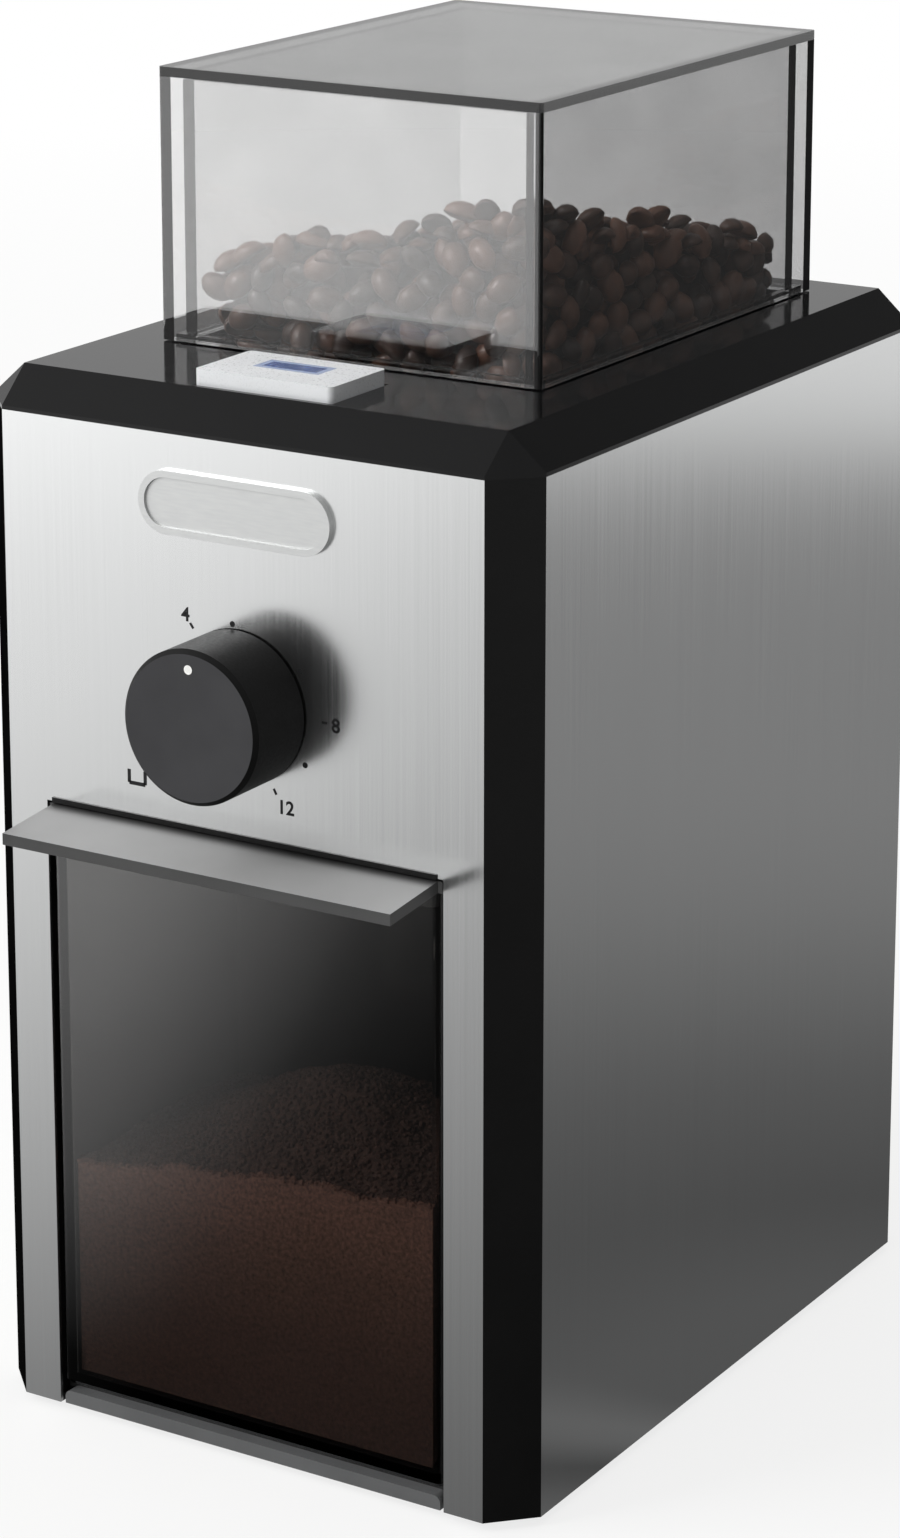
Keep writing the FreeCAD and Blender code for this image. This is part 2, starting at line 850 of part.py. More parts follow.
def burr_carrier():
    disc = cylinder(carrier_radius, carrier_z, lower_burr_z, burr_y)
    pilot = cylinder(lower_burr_bore - fit_gap, lower_burr_z, lower_burr_top - coarse_groove_depth, burr_y)
    paddle = box(-paddle_width / 2, paddle_width / 2, burr_y + paddle_start, burr_y + carrier_radius + paddle_overhang,
                 carrier_z - paddle_height, lower_burr_z)
    paddles = [turned(paddle, 360.0 * index / paddle_count, burr_y) for index in range(paddle_count)]
    bore = cylinder(spindle_radius + fit_gap, carrier_z, lower_burr_top, burr_y)
    return join(disc, [pilot] + paddles).cut(bore)


def burr_spindle():
    low = plate_level + spindle_end_gap
    return cylinder(spindle_radius, low, lower_burr_top + nut_height, burr_y)


def burr_nut():
    corners = [(nut_radius * math.cos(math.radians(60 * index)),
                burr_y + nut_radius * math.sin(math.radians(60 * index))) for index in range(6)]
    low = lower_burr_top - coarse_groove_depth
    hexagon = prism(corners, low, lower_burr_top + nut_height)
    return hexagon.cut(cylinder(spindle_radius + fit_gap, low, lower_burr_top + nut_height, burr_y))


def upper_burr_carrier():
    radius = chamber_bore - upper_carrier_gap
    disc = tube(upper_burr_bore, radius, upper_carrier_z, upper_carrier_top, burr_y)
    throat = tube(upper_burr_bore, upper_burr_bore + throat_wall, upper_carrier_top,
                  upper_carrier_top + throat_height, burr_y)
    return join(disc, [throat])


def grind_chamber():
    outer = chamber_bore + chamber_wall
    cup = cylinder(outer, chamber_z, chamber_top, burr_y)
    flange = cylinder(retainer_outer, chamber_top - chamber_flange_thickness, chamber_top, burr_y)
    cup = join(cup, [flange])
    window = wide_box(chute_half_width - chute_wall, burr_y - retainer_outer, burr_y,
                      chamber_in, chamber_in + chute_window)
    bush_hole = cylinder(spindle_radius + bush_wall + fit_gap, chamber_z, chamber_in, burr_y)
    return cup.cut([cylinder(chamber_bore, chamber_in, chamber_top, burr_y), window, bush_hole])


def grounds_chute():
    # Closed on all sides but the window into the chamber and the mouth over the container.
    wall_y = burr_y - chamber_bore
    front = inlet_front()
    back = front + chute_mouth
    high = chamber_in + chute_window + chute_wall
    low = chamber_in - chute_wall
    outer = [(front - chute_wall, roof_top), (back + chute_wall, roof_top), (back + chute_wall, low - chute_slope),
             (wall_y, low), (wall_y, high), (front - chute_wall, high - chute_slope)]
    inner = [(front, roof_top), (back, roof_top), (back, low - chute_slope + chute_wall),
             (wall_y, chamber_in), (wall_y, high - chute_wall), (front, high - chute_slope - chute_wall)]
    duct = profile_x(outer, chute_half_width + chute_wall).cut(profile_x(inner, chute_half_width))
    keep_out = cylinder(chamber_bore + chamber_wall + fit_gap, roof_top, chamber_top, burr_y)
    flange_room = cylinder(retainer_outer + fit_gap,
                           chamber_top - chamber_flange_thickness - fit_gap, chamber_top, burr_y)
    return duct.cut([keep_out, flange_room])


def adjust_ring():
    base = tube(ring_throat, ring_base_radius, ring_z, ring_z + ring_flange, burr_y)
    inner = ring_collar_radius - ring_collar_wall
    collar = tube(inner, ring_collar_radius, ring_z + ring_flange, ring_top, burr_y)
    grip = box(-ring_grip_width / 2, ring_grip_width / 2, burr_y + inner - ring_grip_depth, burr_y + inner + ring_grip_root,
               ring_z + ring_flange, ring_top)
    grips = [turned(grip, 360.0 * index / ring_grip_count, burr_y) for index in range(ring_grip_count)]
    return join(base, [collar] + grips)


def ring_retainer():
    lap = ring_base_radius - retainer_lap
    top = ring_z + ring_flange + ring_gap
    wall_ring = tube(ring_base_radius + ring_gap, retainer_outer, chamber_top, top, burr_y)
    lap_ring = tube(lap, retainer_outer, top, top + retainer_thickness, burr_y)
    return join(wall_ring, [lap_ring])


# ---- Gears ----
def involute(base, radius):
    # Polar angle of an involute of the base circle where it reaches a radius.
    if radius <= base:
        return 0.0
    pressure = math.acos(base / radius)
    return math.tan(pressure) - pressure


def gear_outline(teeth, first_tooth):
    pitch = gear_module * teeth / 2
    base = pitch * math.cos(math.radians(pressure_angle))
    tip = pitch + gear_module
    root = pitch - gear_dedendum * gear_module
    half_tooth = (math.pi * gear_module / 2 - backlash / 2) / (2 * pitch)
    start = max(root, base)
    radii = [start + (tip - start) * index / flank_count for index in range(flank_count + 1)]
    flank = [(radius, half_tooth + involute(base, pitch) - involute(base, radius)) for radius in radii]
    if root < base:
        flank.insert(0, (root, flank[0][1]))
    points = []
    for tooth in range(teeth):
        centre = math.radians(first_tooth) + 2 * math.pi * tooth / teeth
        rising = [(radius, centre - angle) for radius, angle in flank]
        falling = [(radius, centre + angle) for radius, angle in reversed(flank)]
        for radius, angle in rising + falling:
            points.append((radius * math.cos(angle), radius * math.sin(angle)))
    return points


def toothed_wheel(teeth, first_tooth, y):
    wheel = prism(gear_outline(teeth, first_tooth), gear_z, gear_z + gear_width)
    wheel.translate(Vector(0, y, 0))
    return wheel


def drive_gear():
    wheel = toothed_wheel(gear_teeth, 90.0, burr_y)
    pitch = gear_module * gear_teeth / 2
    rim = pitch - gear_dedendum * gear_module - gear_rim
    cuts = [tube(gear_hub, rim, gear_z + gear_web, gear_z + gear_width, burr_y),
            cylinder(spindle_radius + fit_gap, gear_z, gear_z + gear_width, burr_y)]
    return wheel.cut(cuts)


def motor_pinion():
    first = 270.0 + 180.0 / pinion_teeth
    wheel = toothed_wheel(pinion_teeth, first, motor_y)
    return wheel.cut(cylinder(motor_shaft_radius + fit_gap, gear_z, gear_z + gear_width, motor_y))


def gearbox_room(inset, z0, z1):
    gear_room = gear_module * (gear_teeth / 2 + 1) + gearbox_air + gearbox_wall - inset
    pinion_room = gear_module * (pinion_teeth / 2 + 1) + gearbox_air + gearbox_wall - inset
    around_gear = cylinder(gear_room, z0, z1, burr_y)
    around_pinion = cylinder(pinion_room, z0, z1, motor_y)
    between = wide_box(pinion_room, burr_y, motor_y, z0, z1)
    return join(around_gear, [around_pinion, between])


def gearbox_cover():
    cover = gearbox_room(0, plate_top, gearbox_top)
    room = gearbox_room(gearbox_wall, plate_top, gearbox_top - gearbox_wall)
    bush_hole = cylinder(spindle_radius + bush_wall + fit_gap, plate_top, gearbox_top, burr_y)
    return cover.cut([room, bush_hole])


def gearbox_plate():
    plate = wide_box(half_width - shell_inset, burr_y - plate_overhang, motor_y + plate_overhang,
                     plate_level, plate_top)
    spindle_hole = cylinder(spindle_radius + bush_wall + fit_gap, plate_level, plate_top, burr_y)
    motor_hole = cylinder(motor_bearing_radius + fit_gap, plate_level, plate_top, motor_y)
    return plate.cut([spindle_hole, motor_hole])


def bush(z0, z1, flange_z):
    outer = spindle_radius + bush_wall
    flange = cylinder(outer + bush_flange, flange_z, flange_z + bush_flange_thickness, burr_y)
    body = join(cylinder(outer, z0, z1, burr_y), [flange])
    return body.cut(cylinder(spindle_radius + spindle_clearance, z0, z1, burr_y))


def lower_spindle_bush():
    return bush(plate_level, plate_top + bush_flange_thickness, plate_top)


def upper_spindle_bush():
    under = gearbox_top - gearbox_wall
    return bush(under - bush_flange_thickness, chamber_in, under - bush_flange_thickness)


# ---- Motor ----
def motor_can():
    can = cylinder(motor_radius, motor_z, plate_level, motor_y)
    room = cylinder(motor_radius - motor_shell, motor_z + motor_shell, plate_level - motor_shell, motor_y)
    vent = box(-motor_vent_width / 2, motor_vent_width / 2, motor_y + stator_bore, motor_y + motor_radius + motor_shell,
               motor_z + 2 * motor_shell, motor_z + 2 * motor_shell + motor_vent_height)
    vents = [turned(vent, 360.0 * index / motor_vents, motor_y) for index in range(motor_vents)]
    top_hole = cylinder(motor_bearing_radius + fit_gap, plate_level - motor_shell, plate_level, motor_y)
    bottom_hole = cylinder(motor_bearing_radius + fit_gap, motor_z, motor_z + motor_shell, motor_y)
    return can.cut([room, top_hole, bottom_hole] + vents)


def stator_z():
    return plate_level - motor_shell - motor_bearing_height - stator_height


def stator_core():
    return tube(stator_bore, motor_radius - motor_shell - fit_gap, stator_z(), stator_z() + stator_height, motor_y)


def rotor_core():
    radius = stator_bore - rotor_air
    core = tube(motor_shaft_radius + fit_gap, radius, stator_z(), stator_z() + stator_height, motor_y)
    slot = wide_box(rotor_slot_width / 2, motor_y + radius - rotor_slot_depth, motor_y + stator_bore,
                    stator_z(), stator_z() + stator_height)
    return core.cut([turned(slot, 360.0 * index / rotor_slots, motor_y) for index in range(rotor_slots)])


def motor_shaft():
    return cylinder(motor_shaft_radius, fan_z - shaft_tail, gear_z + gear_width, motor_y)


def motor_bearing(z0):
    return tube(motor_shaft_radius + spindle_clearance, motor_bearing_radius, z0, z0 + motor_bearing_height, motor_y)


def upper_motor_bearing():
    return motor_bearing(plate_level - motor_shell)


def lower_motor_bearing():
    return motor_bearing(motor_z)


def cooling_fan():
    hub = cylinder(fan_hub, fan_z, fan_z + fan_height, motor_y)
    disc = cylinder(fan_radius, fan_z, fan_z + fan_plate, motor_y)
    blade = box(0, fan_blade, motor_y + fan_hub / 2, motor_y + fan_radius - fan_rim_gap, fan_z, fan_z + fan_height)
    blade.rotate(Vector(0, motor_y + fan_hub, 0), Vector(0, 0, 1), fan_blade_tilt)
    blades = [turned(blade, 360.0 * index / fan_blades, motor_y) for index in range(fan_blades)]
    bore = cylinder(motor_shaft_radius + fit_gap, fan_z, fan_z + fan_height, motor_y)
    return join(hub, [disc] + blades).cut(bore)


# ---- Switches and wiring ----
def plunger_tip():
    return container_back + plunger_gap


def safety_plunger():
    return rod_y(plunger_radius, plunger_tip(), plunger_tip() + plunger_length, plunger_x, plunger_level)


def safety_switch():
    half = safety_width / 2
    body = box(plunger_x - half, plunger_x + half, liner_back, liner_back + safety_depth,
               plunger_level - safety_height / 2, plunger_level + safety_height / 2)
    bore_end = plunger_tip() + plunger_length + plunger_travel + plunger_gap
    return body.cut(rod_y(plunger_radius + plunger_clearance, liner_back, bore_end, plunger_x, plunger_level))


def terminal_block():
    back = body_depth - terminal_from_back
    block = wide_box(terminal_width / 2, back - terminal_depth, back, base_top, base_top + terminal_height)
    pitch = terminal_width / terminal_poles
    cuts = []
    for index in range(terminal_poles):
        x = (index - (terminal_poles - 1) / 2) * pitch
        cuts.append(cylinder(terminal_slot / 2, base_top + terminal_height / 2, base_top + terminal_height,
                             back - terminal_depth / 2, x))
    return block.cut(cuts)


nodes = {
    "body_shell": body_shell,
    "front_panel": front_panel,
    "left_side_panel": lambda: side_panel(-1),
    "right_side_panel": lambda: side_panel(1),
    "base_plate": base_plate,
    "base_trim": base_trim,
    "rubber_feet": rubber_feet,
    "rear_cover": rear_cover,
    "cable_gland": cable_gland,
    "top_cover": top_cover,
    "badge_plate": badge_plate,
    "container_bay": container_bay,
    "grounds_container": grounds_container,
    "container_lid": container_lid,
    "timer_knob": timer_knob,
    "knob_shaft": knob_shaft,
    "timer_unit": timer_unit,
    "start_button": start_button,
    "button_lens": button_lens,
    "button_spring": button_spring,
    "start_switch": start_switch,
    "bean_hopper": bean_hopper,
    "hood_walls": hood_walls,
    "hood_plate": hood_plate,
    "lower_burr": lower_burr,
    "upper_burr": upper_burr,
    "burr_carrier": burr_carrier,
    "burr_spindle": burr_spindle,
    "burr_nut": burr_nut,
    "upper_burr_carrier": upper_burr_carrier,
    "grind_chamber": grind_chamber,
    "grounds_chute": grounds_chute,
    "adjust_ring": adjust_ring,
    "ring_retainer": ring_retainer,
    "drive_gear": drive_gear,
    "motor_pinion": motor_pinion,
    "gearbox_cover": gearbox_cover,
    "gearbox_plate": gearbox_plate,
    "lower_spindle_bush": lower_spindle_bush,
    "upper_spindle_bush": upper_spindle_bush,
    "motor_can": motor_can,
    "stator_core": stator_core,
    "rotor_core": rotor_core,
    "motor_shaft": motor_shaft,
    "upper_motor_bearing": upper_motor_bearing,
    "lower_motor_bearing": lower_motor_bearing,
    "cooling_fan": cooling_fan,
    "safety_plunger": safety_plunger,
    "safety_switch": safety_switch,
    "terminal_block": terminal_block,
}

os.makedirs("parts", exist_ok=True)
for name, make in nodes.items():
    save(name, make())
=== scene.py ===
# Burr coffee grinder: finishes, beans, ground coffee, dial print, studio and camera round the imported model.
import json
import math
import random

import bmesh
import bpy
from mathutils import Matrix, Vector, noise


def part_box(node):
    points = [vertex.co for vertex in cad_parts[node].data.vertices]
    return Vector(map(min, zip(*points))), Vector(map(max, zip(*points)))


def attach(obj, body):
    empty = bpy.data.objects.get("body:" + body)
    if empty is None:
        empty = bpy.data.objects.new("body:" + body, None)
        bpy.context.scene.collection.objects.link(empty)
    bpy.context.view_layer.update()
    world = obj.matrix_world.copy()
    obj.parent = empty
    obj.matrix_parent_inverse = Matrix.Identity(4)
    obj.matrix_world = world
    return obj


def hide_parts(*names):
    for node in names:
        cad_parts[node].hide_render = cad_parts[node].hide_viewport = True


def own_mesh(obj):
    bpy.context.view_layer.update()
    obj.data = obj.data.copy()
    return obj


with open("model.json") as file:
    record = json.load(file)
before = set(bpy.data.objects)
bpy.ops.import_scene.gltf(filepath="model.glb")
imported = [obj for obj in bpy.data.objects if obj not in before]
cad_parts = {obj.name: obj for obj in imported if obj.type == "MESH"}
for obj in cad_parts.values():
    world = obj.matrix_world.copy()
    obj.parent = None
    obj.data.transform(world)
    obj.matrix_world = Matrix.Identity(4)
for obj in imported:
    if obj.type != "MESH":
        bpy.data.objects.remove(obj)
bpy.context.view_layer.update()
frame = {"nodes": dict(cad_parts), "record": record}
nodes = frame["nodes"]
openings = {item["name"]: [Vector(corner) for corner in item["box_m"]]
            for item in frame["record"]["physics"]["openings"]}
scene = bpy.context.scene
mm = 0.001
white = (1.0, 1.0, 1.0, 1.0)
noiseSpan = (0.3, 0.7)  # nearly all values of a noise texture lie between these
colourMix = {"data_type": "RGBA"}
colourProduct = {"data_type": "RGBA", "blend_type": "MULTIPLY"}
print("model loaded:", len(nodes), "nodes")


def linearColour(hexText):
    parts = [int(hexText[index:index + 2], 16) / 255 for index in (1, 3, 5)]
    return tuple(part / 12.92 if part <= 0.04045 else ((part + 0.055) / 1.055) ** 2.4 for part in parts) + (1.0,)


def addNode(tree, kind, settings=None, values=None, links=None, stops=None):
    # one node with its settings, its fixed values, its links and, on a ramp, its (place, colour) stops
    node = tree.nodes.new(kind)
    for name, value in (settings or {}).items():
        setattr(node, name, value)
    for name, value in (values or {}).items():
        node.inputs[name].default_value = value
    for name, socket in (links or {}).items():
        tree.links.new(socket, node.inputs[name])
    if stops:
        marks = node.color_ramp.elements
        while len(marks) < len(stops):
            marks.new(0.5)
        for mark, (place, colour) in zip(marks, stops):
            mark.position = place
            mark.color = colour
    return node


def newMaterial(name, values):
    material = bpy.data.materials.new(name)
    material.use_nodes = True
    tree = material.node_tree
    shader = tree.nodes["Principled BSDF"]
    for key, value in values.items():
        shader.inputs[key].default_value = value
    return material, tree, shader


def noisePattern(tree, sizeMm, detail=3.0, roughness=0.55, stretch=(1, 1, 1)):
    # noise whose features measure this many millimetres, longer where stretched
    place = addNode(tree, "ShaderNodeTexCoord")
    scale = [1000.0 / (sizeMm * times) for times in stretch]  # Object coordinates are in metres
    mapping = addNode(tree, "ShaderNodeMapping", values={"Scale": scale}, links={"Vector": place.outputs["Object"]})
    return addNode(tree, "ShaderNodeTexNoise", values={"Scale": 1.0, "Detail": detail, "Roughness": roughness},
                   links={"Vector": mapping.outputs["Vector"]}).outputs["Fac"]


def spread(tree, pattern, low, high, patternSpan=noiseSpan):
    # lets a value such as the roughness wander between low and high with a pattern
    return addNode(tree, "ShaderNodeMapRange", values={"From Min": patternSpan[0], "From Max": patternSpan[1],
                                                       "To Min": low, "To Max": high},
                   links={"Value": pattern}).outputs["Result"]


def twoShades(tree, pattern, first, second):
    # lets the colour wander between two close shades with a pattern
    stops = [(place, linearColour(shade)) for place, shade in zip(noiseSpan, (first, second))]
    return addNode(tree, "ShaderNodeValToRGB", links={"Fac": pattern}, stops=stops).outputs["Color"]


def greyStops(stops, low=0.0, high=1.0):
    # (place, brightness) pairs as stops of a ramp that runs from low to high
    return [((place - low) / (high - low), (value, value, value, 1)) for place, value in stops]


def placeParts(tree):
    # x, y and z of a surface point of the resting part
    place = addNode(tree, "ShaderNodeTexCoord")
    return addNode(tree, "ShaderNodeSeparateXYZ", links={"Vector": place.outputs["Object"]}).outputs


def facesAlong(tree, direction, least=0.8):
    # 1 on faces of the resting part that look along a direction
    surface = addNode(tree, "ShaderNodeNewGeometry")
    along = addNode(tree, "ShaderNodeVectorMath", {"operation": "DOT_PRODUCT"}, {1: direction},
                    {0: surface.outputs["True Normal"]})
    return addNode(tree, "ShaderNodeMath", {"operation": "GREATER_THAN"}, {1: least},
                   {0: along.outputs["Value"]}).outputs["Value"]


def linkLook(tree, shader, colour, pattern, roughness=None, bumpMm=None):
    # links the colour, and lets the roughness and a bump follow a pattern
    tree.links.new(colour, shader.inputs["Base Color"])
    if roughness:
        tree.links.new(spread(tree, pattern, *roughness), shader.inputs["Roughness"])
    if bumpMm:
        bump = addNode(tree, "ShaderNodeBump", values={"Strength": 1.0, "Distance": bumpMm * mm},
                       links={"Height": pattern})
        tree.links.new(bump.outputs["Normal"], shader.inputs["Normal"])


mouldedPlastics = {
    # spark-eroded mould: dull black; the upright left corner loses its reflection, which paints shade on it
    "black_plastic": {"name": "blackAbsSparkGrain", "colours": ("#050505", "#0a0a0a"), "roughness": (0.36, 0.46),
                      "grainMm": 0.5, "bumpMm": 0.02, "paintedShadeCornerSpecular": (0.22, 0.0)},
    # polished mould: black that mirrors the hopper
    "gloss_black": {"name": "blackAbsPolishedMould", "colours": ("#060607", "#09090a"), "roughness": (0.05, 0.1),
                    "grainMm": 6, "bumpMm": 0.002, "specular": 0.25},
    # black skirt with its front face painted dark grey, both finely grained: painted light on the face towards the
    # lamp
    "knob": {"name": "twoShotAbsFineGrain", "colours": ("#080808", "#0d0d0d"), "roughness": (0.45, 0.55),
             "grainMm": 0.6, "bumpMm": 0.01, "specular": 0.1, "paintedLitFrontColours": ("#38383a", "#404042")},
    # waxy and nearly black
    "liner": {"name": "blackPolypropyleneLiner", "colours": ("#161616", "#1c1c1c"), "roughness": (0.4, 0.5),
              "grainMm": 0.8, "bumpMm": 0.01},
    # even mid grey with a soft sheen
    "grey_plastic": {"name": "lightGreyAbsMoulded", "colours": ("#5c5d5e", "#666768"), "roughness": (0.35, 0.45),
                     "grainMm": 0.6, "bumpMm": 0.01},
    # pale silvery grey, satin
    "button_silver": {"name": "silverGreyAbsSatin", "colours": ("#dfe1e3", "#e7e9eb"), "roughness": (0.25, 0.35),
                      "grainMm": 0.5, "bumpMm": 0.006},
    # off-white gears, slightly waxy
    "white_nylon": {"name": "whiteNylonMoulded", "colours": ("#dcdad2", "#e8e6df"), "roughness": (0.4, 0.5),
                    "grainMm": 0.7, "bumpMm": 0.01},
    # matt black feet and seals
    "rubber": {"name": "blackNitrileRubber", "colours": ("#151515", "#1e1e1e"), "roughness": (0.7, 0.85),
               "grainMm": 0.7, "bumpMm": 0.03},
}
flowCloudMm = 18


def mouldedMaterial(name, colours, roughness, grainMm, bumpMm, specular=0.5, paintedLitFrontColours=None, paintedShadeCornerSpecular=None):
    # injection-moulded plastic: even colour with faint flow clouds and the fine grain of the mould; a piece may have
    # its front face painted in a paler colour as painted light, and its upright left corner may lose its reflection as
    # painted shade
    material, tree, shader = newMaterial(name, {"IOR": 1.52, "Specular IOR Level": specular})
    clouds = noisePattern(tree, flowCloudMm)
    colour = twoShades(tree, clouds, *colours)
    # the front face is painted paler than the skirt: painted light
    if paintedLitFrontColours:
        front = twoShades(tree, clouds, *paintedLitFrontColours)
        colour = addNode(tree, "ShaderNodeMix", colourMix, links={
            "Factor": facesAlong(tree, (0, -1, 0)), "A": colour, "B": front}).outputs["Result"]
    linkLook(tree, shader, colour, noisePattern(tree, grainMm, detail=2.0), roughness, bumpMm)
    # the upright left corner loses its reflection so that it stays dark: painted shade
    if paintedShadeCornerSpecular:
        share = spread(tree, facesAlong(tree, (-0.7, -0.7, 0)), *paintedShadeCornerSpecular, (0.0, 1.0))
        tree.links.new(share, shader.inputs["Specular IOR Level"])
    return material


steel = {"name": "stainlessSheetBrushedUpright", "colours": ("#dddede", "#e2e3e3"), "roughness": (0.17, 0.25),
         "lineMm": 0.3, "lineLengthMm": 90, "bumpMm": 0.0006, "anisotropic": 0.5}


def brushedSteelMaterial():
    # 18/8 stainless sheet, belt-brushed upright: long fine lines that spread reflections sideways
    material, tree, shader = newMaterial(steel["name"], {"Metallic": 1.0, "Anisotropic": steel["anisotropic"]})
    lines = noisePattern(tree, steel["lineMm"], 4.0, 0.7, (1, 1, steel["lineLengthMm"] / steel["lineMm"]))
    linkLook(tree, shader, twoShades(tree, lines, *steel["colours"]), lines, steel["roughness"], steel["bumpMm"])
    tangent = addNode(tree, "ShaderNodeTangent", {"direction_type": "RADIAL", "axis": "Z"})
    tree.links.new(tangent.outputs["Tangent"], shader.inputs["Tangent"])
    return material


machinedMetals = {
    # plated casting with a satin face: pale and even
    "badge_metal": {"name": "zincDieCastSatinChrome", "colours": ("#c6c7c7", "#cdcecd"), "roughness": (0.46, 0.52),
                    "lineMm": 0.5, "bumpMm": 0.0005},
    # ground teeth: bright, slightly warm grey
    "hard_steel": {"name": "hardenedToolSteelGround", "colours": ("#9d9c99", "#b3b2ae"), "roughness": (0.22, 0.34),
                   "lineMm": 0.2},
    # thin plating on pressed steel: light grey, unevenly glossy
    "zinc_steel": {"name": "zincPlatedSteelPressed", "colours": ("#b5b6b4", "#c8c9c6"), "roughness": (0.25, 0.4),
                   "lineMm": 0.4},
    # pressed powder: brown gold and dull
    "bronze": {"name": "sinteredBronzeBush", "colours": ("#8d6235", "#a87a48"), "roughness": (0.4, 0.55),
               "lineMm": 0.3},
    # stacked sheet edges: dark grey lines
    "electric_steel": {"name": "laminatedElectricSteel", "colours": ("#4c4c4e", "#606062"), "roughness": (0.4, 0.55),
                       "lineMm": 0.5},
}
lineStretch = 8  # a tool line is this many times as long as it is wide


def machinedMetalMaterial(name, colours, roughness, lineMm, bumpMm=0.006):
    # turned or pressed metal: fine level tool lines, slightly uneven gloss
    material, tree, shader = newMaterial(name, {"Metallic": 1.0})
    lines = noisePattern(tree, lineMm, stretch=(lineStretch, lineStretch, 1))
    linkLook(tree, shader, twoShades(tree, lines, *colours), lines, roughness, bumpMm)
    return material


clearParts = {
    # faintly grey and clear
    "clear_plastic": {"name": "clearSanMoulded", "colours": ("#e4e4e4", "#eaeaea")},
    "hopper": {"name": "clearSanHopper", "colours": ("#f5f5f5", "#fafafa")},
    # smoked grey
    "smoked_plastic": {"name": "smokedSanMoulded", "colours": ("#9fa09f", "#acadac"), "roughness": 0.04},
    "container": {"name": "smokedSanContainer", "colours": ("#b6b4b2", "#bebcba")},
    # dark smoke at its front edge, pale and satin-etched on top, and painted shade on the top next to the front sheet
    "lid": {"name": "smokedSanSatinLid", "colours": ("#3c3c3c", "#444444"), "topColours": ("#a4a4a4", "#acacac"),
            "roughness": 0.5, "transmission": 0.2, "specular": 0.3},
}
clearWalls = {"flowMm": 22, "lampColour": "#f6f6f6", "paintedShadeFadeMm": 4.5}


def mouldedClearMaterial(name, colours, roughness=0.0, transmission=1.0, specular=0.5, topColours=None):
    # injection-moulded SAN: faint flow clouds in the tint, and lamp light falls straight through the walls
    material, tree, shader = newMaterial(name, {"IOR": 1.55, "Transmission Weight": transmission,
                                                "Roughness": roughness, "Specular IOR Level": specular})
    flow = noisePattern(tree, clearWalls["flowMm"])
    tint = twoShades(tree, flow, *colours)
    if topColours:  # the pale top is painted darker towards the front sheet: painted shade
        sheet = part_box("front_panel")[0].y
        unshadedShare = addNode(tree, "ShaderNodeMapRange", {"interpolation_type": "SMOOTHERSTEP"},
                         {"From Min": sheet, "From Max": sheet - clearWalls["paintedShadeFadeMm"] * mm},
                         {"Value": placeParts(tree)["Y"]})
        share = addNode(tree, "ShaderNodeMath", {"operation": "MULTIPLY"},
                        links={0: unshadedShare.outputs["Result"], 1: facesAlong(tree, (0, 0, 1))})
        tint = addNode(tree, "ShaderNodeMix", colourMix, links={
            "Factor": share.outputs["Value"], "A": tint, "B": twoShades(tree, flow, *topColours)}).outputs["Result"]
    tree.links.new(tint, shader.inputs["Base Color"])
    straight = addNode(tree, "ShaderNodeBsdfTransparent", values={"Color": linearColour(clearWalls["lampColour"])})
    rays = addNode(tree, "ShaderNodeLightPath")
    lit = addNode(tree, "ShaderNodeMath", {"operation": "MAXIMUM"},
                  links={0: rays.outputs["Is Shadow Ray"], 1: rays.outputs["Is Diffuse Ray"]})
    mixed = addNode(tree, "ShaderNodeMixShader", links={0: lit.outputs["Value"], 1: shader.outputs["BSDF"],
                                                        2: straight.outputs["BSDF"]})
    tree.links.new(mixed.outputs["Shader"], tree.nodes["Material Output"].inputs["Surface"])
    return material


roast = {"colours": ("#35231a", "#6c4836"), "creaseShadeColour": "#1c100b", "roughness": (0.3, 0.5), "mottleMm": 2.4,
         "mottleShare": 0.35, "wrinkleMm": 0.5, "bumpMm": 0.08}


def roastedBeanMaterial():
    # roasted arabica: dark brown husk with a thin film of oil, each bean its own shade
    material, tree, shader = newMaterial("roastedBean", {"IOR": 1.46, "Coat Weight": 0.25, "Coat Roughness": 0.25})
    tone = addNode(tree, "ShaderNodeAttribute", {"attribute_name": "beanTone"})
    mottle = noisePattern(tree, roast["mottleMm"], detail=4.0)
    mottled = addNode(tree, "ShaderNodeMath", {"operation": "MULTIPLY"}, {1: roast["mottleShare"]}, {0: mottle})
    shade = addNode(tree, "ShaderNodeMath", {"operation": "MULTIPLY_ADD"}, {1: 1 - roast["mottleShare"]},
                    {0: tone.outputs["Fac"], 2: mottled.outputs["Value"]})
    # darker in the crease: painted shade in the groove
    crease = addNode(tree, "ShaderNodeAttribute", {"attribute_name": "beanCreaseShade"})
    husk = addNode(tree, "ShaderNodeMix", colourMix, {"B": linearColour(roast["creaseShadeColour"])}, {
        "Factor": crease.outputs["Fac"], "A": twoShades(tree, shade.outputs["Value"], *roast["colours"])})
    linkLook(tree, shader, husk.outputs["Result"], noisePattern(tree, roast["wrinkleMm"]), bumpMm=roast["bumpMm"])
    tree.links.new(spread(tree, mottle, *roast["roughness"]), shader.inputs["Roughness"])
    return material


grind = {"colours": ("#2a1b14", "#5e4034"), "grainMm": 0.9, "bumpMm": 0.5, "frontLayerMm": 1.0, "paintedShadeBehindFront": 0.62,
         "paintedLightHeightMm": 60.0, "paintedLightByHeight": [(0.0, 0.5), (0.3, 0.62), (0.6, 1.0), (0.8, 1.5), (1.0, 1.5)]}


